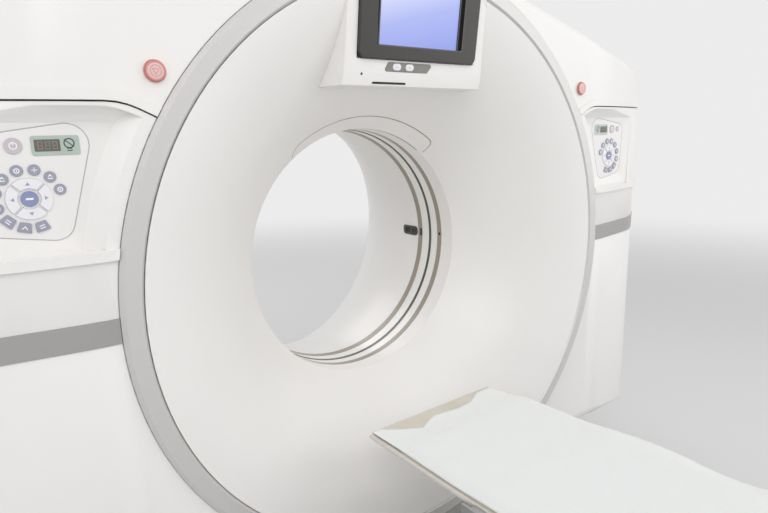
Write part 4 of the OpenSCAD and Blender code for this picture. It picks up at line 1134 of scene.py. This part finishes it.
class MakeMattress(ScannerOperator, bpy.types.Operator):
    """Builds the mattress: a crowned foam pad in the cradle's hollow, with a welded seam round its edge"""
    bl_idname = "scanner.mattress"
    bl_label = "Mattress"

    def make(self, context):
        low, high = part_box("mattress")
        bm = bmesh.new()
        half = (high.x - low.x) / 2
        rows = []
        count = 160
        for i in range(count + 1):
            y = low.y + (high.y - low.y) * i / count
            rows.append([bm.verts.new(p) for p in self.section(y, low, high, half)])
        for a, b in zip(rows, rows[1:]):
            for k in range(len(a)):
                m = (k + 1) % len(a)
                bm.faces.new((a[k], a[m], b[m], b[k]))
        bm.faces.new(rows[0])
        bm.faces.new(list(reversed(rows[-1])))
        pad = add_piece("mattress_pad", bm, finish(mattress_vinyl), BODY_OF["mattress"])
        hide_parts("mattress")
        self.seam(low, high, half)
        self.tongue(low, high, half)

    def section(self, y, low, high, half):
        """One cross-section: a crowned top, round sides, and an underside in the cradle's hollow."""
        end = min(y - low.y, high.y - y)
        pinch = 1 - 0.5 * max(0.0, 1 - end / (14 * MM)) ** 2
        sag = 0.6 * MM * math.sin(y * math.tau / 0.31)
        depth = high.z - low.z
        rim = low.z + depth * 0.55
        points = []
        for k in range(24):
            x = half * (-1 + 2 * k / 23)
            share = abs(x) / half
            points.append(Vector((x * pinch, y, rim - (rim - low.z) * pinch * (1 - share ** 2) + 1.2 * MM)))
        for k in range(24):
            x = half * (1 - 2 * k / 23)
            share = abs(x) / half
            crown = (1 - share ** 10) * (high.z - rim) * pinch - (1 - share ** 2) * 0.5 * MM
            points.append(Vector((x * pinch, y, rim + max(crown, 2.5 * MM) + sag * (1 - share ** 4))))
        return points

    def seam(self, low, high, half):
        z = low.z + (high.z - low.z) * 0.58
        outline = rounded_rect(-half + 1 * MM, low.y + 1 * MM, half - 1 * MM, high.y - 1 * MM, 8 * MM)
        points = [Vector((x, y, z)) for x, y in outline]
        bm = bmesh.new()
        add_tube(bm, points, sizes().seam_bead, 8, closed=True)
        add_piece("mattress_seam", bm, finish(mattress_vinyl), BODY_OF["mattress"])


    def tongue(self, low, high, half):
        """The mattress cover's tongue, which lies wrinkled over the cradle's end."""
        cradle_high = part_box("cradle")[1]
        rim, end = cradle_high.z, cradle_high.y - 2 * MM
        bm = bmesh.new()
        grid = []
        for i in range(61):
            y = end - (end - high.y + 12 * MM) * i / 60
            row = []
            for k in range(101):
                x = (half - 1 * MM) * (k / 50 - 1)
                rise = 1.1 * MM + tongue_wrinkle(x, y) * smooth(end - y, 0, 12 * MM)
                row.append(bm.verts.new((x, y, rim + rise)))
            grid.append(row)
        for a, b in zip(grid, grid[1:]):
            for k in range(100):
                bm.faces.new((a[k], b[k], b[k + 1], a[k + 1]))
        tongue = add_piece("mattress_tongue", bm, finish(mattress_vinyl), BODY_OF["mattress"])
        solid = tongue.modifiers.new("thickness", "SOLIDIFY")
        solid.thickness = 0.8 * MM
        solid.offset = 1


def tongue_wrinkle(x, y):
    """Height of the wrinkles that run across the tongue."""
    fold = noise.noise(Vector((x * 9 + y * 14, y * 30 - x * 6, 4.4)))
    return (1.6 + 2.2 * fold + 1.4 * abs(noise.noise(Vector((x * 25, y * 60, 1.7))))) * MM


class MakeSheet(ScannerOperator, bpy.types.Operator):
    """Lays the disposable sheet over the mattress, creased on top and waving where it hangs over the side"""
    bl_idname = "scanner.sheet"
    bl_label = "Sheet"

    def make(self, context):
        low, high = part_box("sheet")
        rows, columns = 260, 80
        bm = bmesh.new()
        grid = []
        for i in range(rows + 1):
            grid.append([bm.verts.new(self.point(i / rows, k / columns, low)) for k in range(columns + 1)])
        for a, b in zip(grid, grid[1:]):
            for k in range(columns):
                bm.faces.new((a[k], b[k], b[k + 1], a[k + 1]))
        area = sum(face.calc_area() for face in bm.faces)
        cloth = add_piece("patient_sheet", bm, finish(sheet_nonwoven), BODY_OF["sheet"])
        solid = cloth.modifiers.new("thickness", "SOLIDIFY")
        solid.thickness = 0.5 * MM
        solid.offset = 1
        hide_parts("sheet")

    def point(self, along, across, low):
        """A point of the sheet: its cut edge in front, the bed, the bend, and the loose flap on the right."""
        side, end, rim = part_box("cradle")[1]
        bend = side - 8 * MM
        front = end - between(FRONT_EDGE, (-203 + 430 * across)) * MM
        y = front + (low.y - front) * along
        left = -204 * MM + wave(y, 0.23, 4 * MM, 1)
        right = between(RIGHT_EDGE, (end - y) / MM) * MM + wave(y, 0.19, 6 * MM, 5)
        x = left + (right - left) * across
        behind = end - y
        lift = smooth(behind, 70 * MM, 150 * MM) * smooth(x - left, -1 * MM, 26 * MM)
        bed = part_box("mattress")[1].z + 1 * MM
        z = rim + 5.5 * MM + (bed - rim - 5.5 * MM) * lift
        over = max(0.0, x - bend)
        z -= over * (0.16 + 0.1 * math.sin(y * 17)) + 9 * MM * smooth(over, 0, 40 * MM)
        z += wave(y, 0.16, sizes().wave_height, 9) * smooth(over, 0, 60 * MM)
        z += crease(x, y) * sizes().crease_height * (0.3 + 0.7 * lift)
        return Vector((x, y, z))


# Millimetres from the cradle's end to the sheet's cut edge, by the place across the table
FRONT_EDGE = ((-205, 10), (-181, 8), (-135, 42), (-90, 70), (-55, 52), (-23, 39), (60, 50), (109, 45),
              (166, 17), (240, 12))
# Millimetres from the middle to the sheet's right edge, by the distance from the cradle's end
RIGHT_EDGE = ((0, 196), (150, 212), (330, 236), (460, 262), (600, 288), (1000, 282), (1500, 286), (2300, 280))


def between(table, value):
    """The value that a table of places and values gives, with straight lines between its places."""
    for (a, low), (b, high) in zip(table, table[1:]):
        if value < b:
            return low + (high - low) * max(0.0, value - a) / (b - a)
    return table[-1][1]


def smooth(value, low, high):
    share = min(max((value - low) / (high - low), 0), 1)
    return share * share * (3 - 2 * share)


def wave(y, length, height, seed):
    """A slow, uneven wave along the table."""
    return height * noise.noise(Vector((y / length, seed * 7.3, 0.5))) * 1.6


def crease(x, y):
    """Fine creases that run mostly across the sheet, from 0 to 1 and a little below."""
    fold = noise.noise(Vector((x * 4, y * 11, 3.1)))
    sharp = 1 - abs(noise.noise(Vector((x * 7 + y * 3, y * 16, 8.2)))) * 3
    return 0.6 + fold + max(0.0, sharp) * 0.5


class AddFittings(ScannerOperator, bpy.types.Operator):
    """Adds what the sides, back and roof carry: vents, quarter-turn fasteners and the flare's gasket"""
    bl_idname = "scanner.fittings"
    bl_label = "Vents and fasteners"

    def make(self, context):
        self.side_vents()
        self.roof_vents()
        self.rear_vents()
        self.fasteners()
        self.gasket()

    def side_vents(self):
        for side, sign in SIDES.items():
            frame_bm, slats = bmesh.new(), bmesh.new()
            place = flat_frame((0, 0.24, ISO - 0.52), (0, 1, 0), (0, 0, 1), (sign, 0, 0))
            outline = rounded_rect(-0.17, -0.09, 0.17, 0.09, 0.02)
            add_stroke(frame_bm, outline, 8 * MM, place, -2 * MM, 3.5 * MM, closed=True)
            for k in range(11):
                z = -0.075 + 0.015 * k
                points = [(-0.158 + 0.316 * i / 12, z) for i in range(13)]
                add_stroke(slats, points, 7 * MM, place, -2 * MM, 2.2 * MM)
            for bm in (frame_bm, slats):
                drape(bm, (-sign, 0, 0), f"{side}_lower_cover")
            add_piece(f"{side}_vent_frame", frame_bm, finish(moulded_cover), "gantry")
            add_piece(f"{side}_vent_slats", slats, finish(plinth_plastic), "gantry")

    def roof_vents(self):
        for side, sign in SIDES.items():
            bm = bmesh.new()
            for r in (0.035, 0.06, 0.085, 0.11):
                ring = circle(sign * 0.42, 0.12, r, 48)
                place = Matrix.Identity(4)
                add_stroke(bm, ring, 6 * MM, place, -1.5 * MM, 3 * MM, closed=True)
            for k in range(6):
                a = math.tau * k / 6
                points = [(sign * 0.42 + r * math.cos(a), 0.12 + r * math.sin(a))
                          for r in (0.02, 0.05, 0.08, 0.125)]
                add_stroke(bm, points, 5 * MM, Matrix.Identity(4), -1.5 * MM, 2.2 * MM)
            drape(bm, (0, 0, -1), "upper_cover")
            add_piece(f"{side}_roof_grille", bm, finish(plinth_plastic), "gantry")

    def rear_vents(self):
        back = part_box("rear_cover")[1].y
        for side, sign in SIDES.items():
            for level, z in (("upper", 0.42), ("lower", -0.5)):
                place = flat_frame((sign * 0.78, back, ISO + z), (-1, 0, 0), (0, 0, 1), (0, 1, 0))
                bm = bmesh.new()
                add_stroke(bm, rounded_rect(-0.13, -0.08, 0.13, 0.08, 0.016), 8 * MM, place, -1 * MM, 4 * MM,
                           closed=True)
                for k in range(10):
                    z_slat = -0.066 + 0.0147 * k
                    outline = rounded_rect(-0.122, z_slat - 3.6 * MM, 0.122, z_slat + 3.6 * MM, 3 * MM)
                    add_prism(bm, outline, place, -1 * MM, 2.6 * MM, 1 * MM)
                add_piece(f"rear_vent_{level}_{side}", bm, finish(plinth_plastic), "gantry")

    def fasteners(self):
        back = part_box("rear_cover")[1].y
        bm = bmesh.new()
        for sign in (-1, 1):
            for x, z in ((0.62, 0.56), (0.97, 0.3), (0.98, -0.2), (0.92, -0.66), (0.5, -0.69)):
                place = flat_frame((sign * x, back, ISO + z), (-1, 0, 0), (0, 0, 1), (0, 1, 0))
                self.fastener(bm, place)
        place = flat_frame((0, back, ISO + 0.72), (-1, 0, 0), (0, 0, 1), (0, 1, 0))
        self.fastener(bm, place)
        add_piece("rear_fasteners", bm, finish(moulded_bezel), "gantry")

    def fastener(self, bm, place):
        """A quarter-turn fastener: a domed head with a raised bar for the fingers."""
        add_dome(bm, place, [(a * MM, b * MM) for a, b in ((11, -1), (11, 1.2), (9.6, 2.2), (0.8, 2.4))], 32)
        bar = place @ Matrix.Rotation(math.radians(35), 4, "Z")
        add_prism(bm, scaled_points(rounded_rect(-8, -1.6, 8, 1.6, 1.5)), bar, 2 * MM, 4.2 * MM, 0.5 * MM)

    def gasket(self):
        low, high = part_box("rear_flare")
        radius = (high.x - low.x) / 2
        place = flat_frame((0, high.y, ISO), (-1, 0, 0), (0, 0, 1), (0, 1, 0))
        bm = bmesh.new()
        add_ring(bm, place, [(radius - 5 * MM, -3 * MM), (radius - 4 * MM, 2 * MM), (radius + 1 * MM, 3 * MM),
                             (radius + 7 * MM, 2 * MM), (radius + 8 * MM, -1 * MM)], 128)
        add_piece("flare_gasket", bm, finish(silver_lacquer), "gantry")


class SetStage(ScannerOperator, bpy.types.Operator):
    """Sets the plain pale floor and backdrop, the soft lamps and the camera at the photo's angle"""
    bl_idname = "scanner.stage"
    bl_label = "Stage"

    def make(self, context):
        self.floor()
        self.world(context)
        self.lamps()
        self.camera(context)
        context.scene.view_settings.view_transform = "Standard"

    def floor(self):
        bm = bmesh.new()
        ring = [bm.verts.new((30 * math.cos(math.tau * k / 96), 30 * math.sin(math.tau * k / 96), -1 * MM))
                for k in range(96)]
        bm.faces.new(ring)
        mesh = bpy.data.meshes.new("studio_floor")
        bm.to_mesh(mesh)
        bm.free()
        mesh.materials.append(self.floor_paint())
        floor = bpy.data.objects.new("studio_floor", mesh)
        bpy.context.scene.collection.objects.link(floor)
        floor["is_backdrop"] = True

    def floor_paint(self):
        # Matt studio paint, which glows in the backdrop's tone far from the scanner, so that no horizon shows
        material, tree, shader = start_material("studio_floor_paint", linear("#FFFFFF"), 1.0,
                                                **{"Specular IOR Level": 0.0})
        place = add_node(tree, "ShaderNodeTexCoord")
        away = add_node(tree, "ShaderNodeVectorMath", {0: place.outputs["Object"]}, operation="LENGTH")
        near, glow = [add_node(tree, "ShaderNodeMapRange", {
            "Value": away.outputs["Value"], "From Min": GLOW_START, "From Max": GLOW_END, "To Min": low,
            "To Max": high}, interpolation_type="SMOOTHSTEP").outputs[0]
            for low, high in ((FLOOR_TONE, 0.0), (0.0, BACKDROP))]
        colour = add_node(tree, "ShaderNodeCombineColor", {0: near, 1: near, 2: near})
        tree.links.new(colour.outputs[0], shader.inputs["Base Color"])
        tree.links.new(glow, shader.inputs["Emission Strength"])
        shader.inputs["Emission Color"].default_value = linear("#FFFFFF")
        return material

    def world(self, context):
        world = bpy.data.worlds.new("studio_world")
        world.use_nodes = True
        tree = world.node_tree
        tree.nodes.clear()
        path = add_node(tree, "ShaderNodeLightPath")
        seen = path.outputs["Is Camera Ray"]
        for kind in ("Is Glossy Ray", "Is Transmission Ray"):
            seen = add_node(tree, "ShaderNodeMath", {0: seen, 1: path.outputs[kind]},
                            operation="MAXIMUM").outputs[0]
        strength = add_node(tree, "ShaderNodeMapRange", {"Value": seen, "To Min": AMBIENT,
                                                         "To Max": BACKDROP})
        light = add_node(tree, "ShaderNodeBackground", {"Color": linear("#FFFFFF"),
                                                        "Strength": strength.outputs[0]})
        add_node(tree, "ShaderNodeOutputWorld", {"Surface": light.outputs[0]})
        context.scene.world = world

    def lamps(self):
        for name, place, aim, size, power in LAMPS:
            data = bpy.data.lights.new(name, "AREA")
            data.shape = "RECTANGLE"
            data.size, data.size_y = size
            data.energy = power
            lamp = bpy.data.objects.new(name, data)
            lamp.location = place
            lamp.rotation_euler = (Vector(aim) - Vector(place)).to_track_quat("-Z", "Y").to_euler()
            bpy.context.scene.collection.objects.link(lamp)

    def camera(self, context):
        data = bpy.data.cameras.new("photo_camera")
        data.sensor_width = 36
        data.lens = CAMERA_LENS
        camera = bpy.data.objects.new("photo_camera", data)
        level = math.cos(CAMERA_PITCH)
        ahead = Vector((math.sin(CAMERA_YAW) * level, math.cos(CAMERA_YAW) * level, math.sin(CAMERA_PITCH)))
        side = Vector((math.cos(CAMERA_YAW), -math.sin(CAMERA_YAW), 0))
        up = side.cross(ahead)
        right = side * math.cos(CAMERA_ROLL) + up * math.sin(CAMERA_ROLL)
        top = up * math.cos(CAMERA_ROLL) - side * math.sin(CAMERA_ROLL)
        matrix = Matrix((right, top, -ahead)).transposed().to_4x4()
        matrix.translation = CAMERA_PLACE
        camera.matrix_world = matrix
        context.scene.collection.objects.link(camera)
        context.scene.camera = camera


CAMERA_PLACE = (-0.9427, -1.4634, 1.3804)
CAMERA_YAW = math.radians(36.80)
CAMERA_PITCH = math.radians(-11.80)
CAMERA_ROLL = math.radians(-1.616)
CAMERA_LENS = 27.21
AMBIENT = 0.65
BACKDROP = 0.84
FLOOR_TONE = 0.72
GLOW_START = 3.0
GLOW_END = 9.0
LAMPS = (
    ("key_lamp", (-2.6, -3.6, 3.9), (0, -0.3, 1.0), (3.2, 3.2), 66),
    ("fill_lamp", (3.4, -3.2, 2.2), (0, -0.3, 0.9), (3.0, 3.0), 34),
    ("back_lamp", (0.4, 4.2, 3.6), (0, 0, 1.1), (3.0, 2.0), 46),
    ("table_lamp", (0.6, -1.9, 3.6), (0.1, -1.4, 0.7), (2.0, 2.6), 12),
)

STEPS = (DressCovers, DressBore, DressPanels, DressStops, DressDisplay, DressMachine, DressTable,
         MakeMattress, MakeSheet, AddFittings, SetStage)


class SCANNER_PT_pieces(bpy.types.Panel):
    """Lists the scanner's pieces and their sizes and colours"""
    bl_label = "CT scanner"
    bl_space_type = "VIEW_3D"
    bl_region_type = "UI"
    bl_category = "CT scanner"

    def draw(self, context):
        layout = self.layout
        for group in (context.scene.scanner_sizes, context.scene.scanner_colours):
            for name in group.__annotations__:
                layout.prop(group, name)
        for operator in STEPS:
            layout.operator(operator.bl_idname)


CLASSES = (ScannerSizes, ScannerColours, *STEPS, SCANNER_PT_pieces)


def register():
    for cls in CLASSES:
        bpy.utils.register_class(cls)
    bpy.types.Scene.scanner_sizes = PointerProperty(type=ScannerSizes)
    bpy.types.Scene.scanner_colours = PointerProperty(type=ScannerColours)


def unregister():
    del bpy.types.Scene.scanner_colours
    del bpy.types.Scene.scanner_sizes
    for cls in reversed(CLASSES):
        bpy.utils.unregister_class(cls)


def main():
    register()
    for operator in STEPS:
        group, name = operator.bl_idname.split(".")
        getattr(getattr(bpy.ops, group), name)()
    boxes = {"cad": CAD_BOX, "visual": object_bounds()}
    {name: [list(corner) for corner in box] for name, box in boxes.items()}


if __name__ == "__main__":
    main()
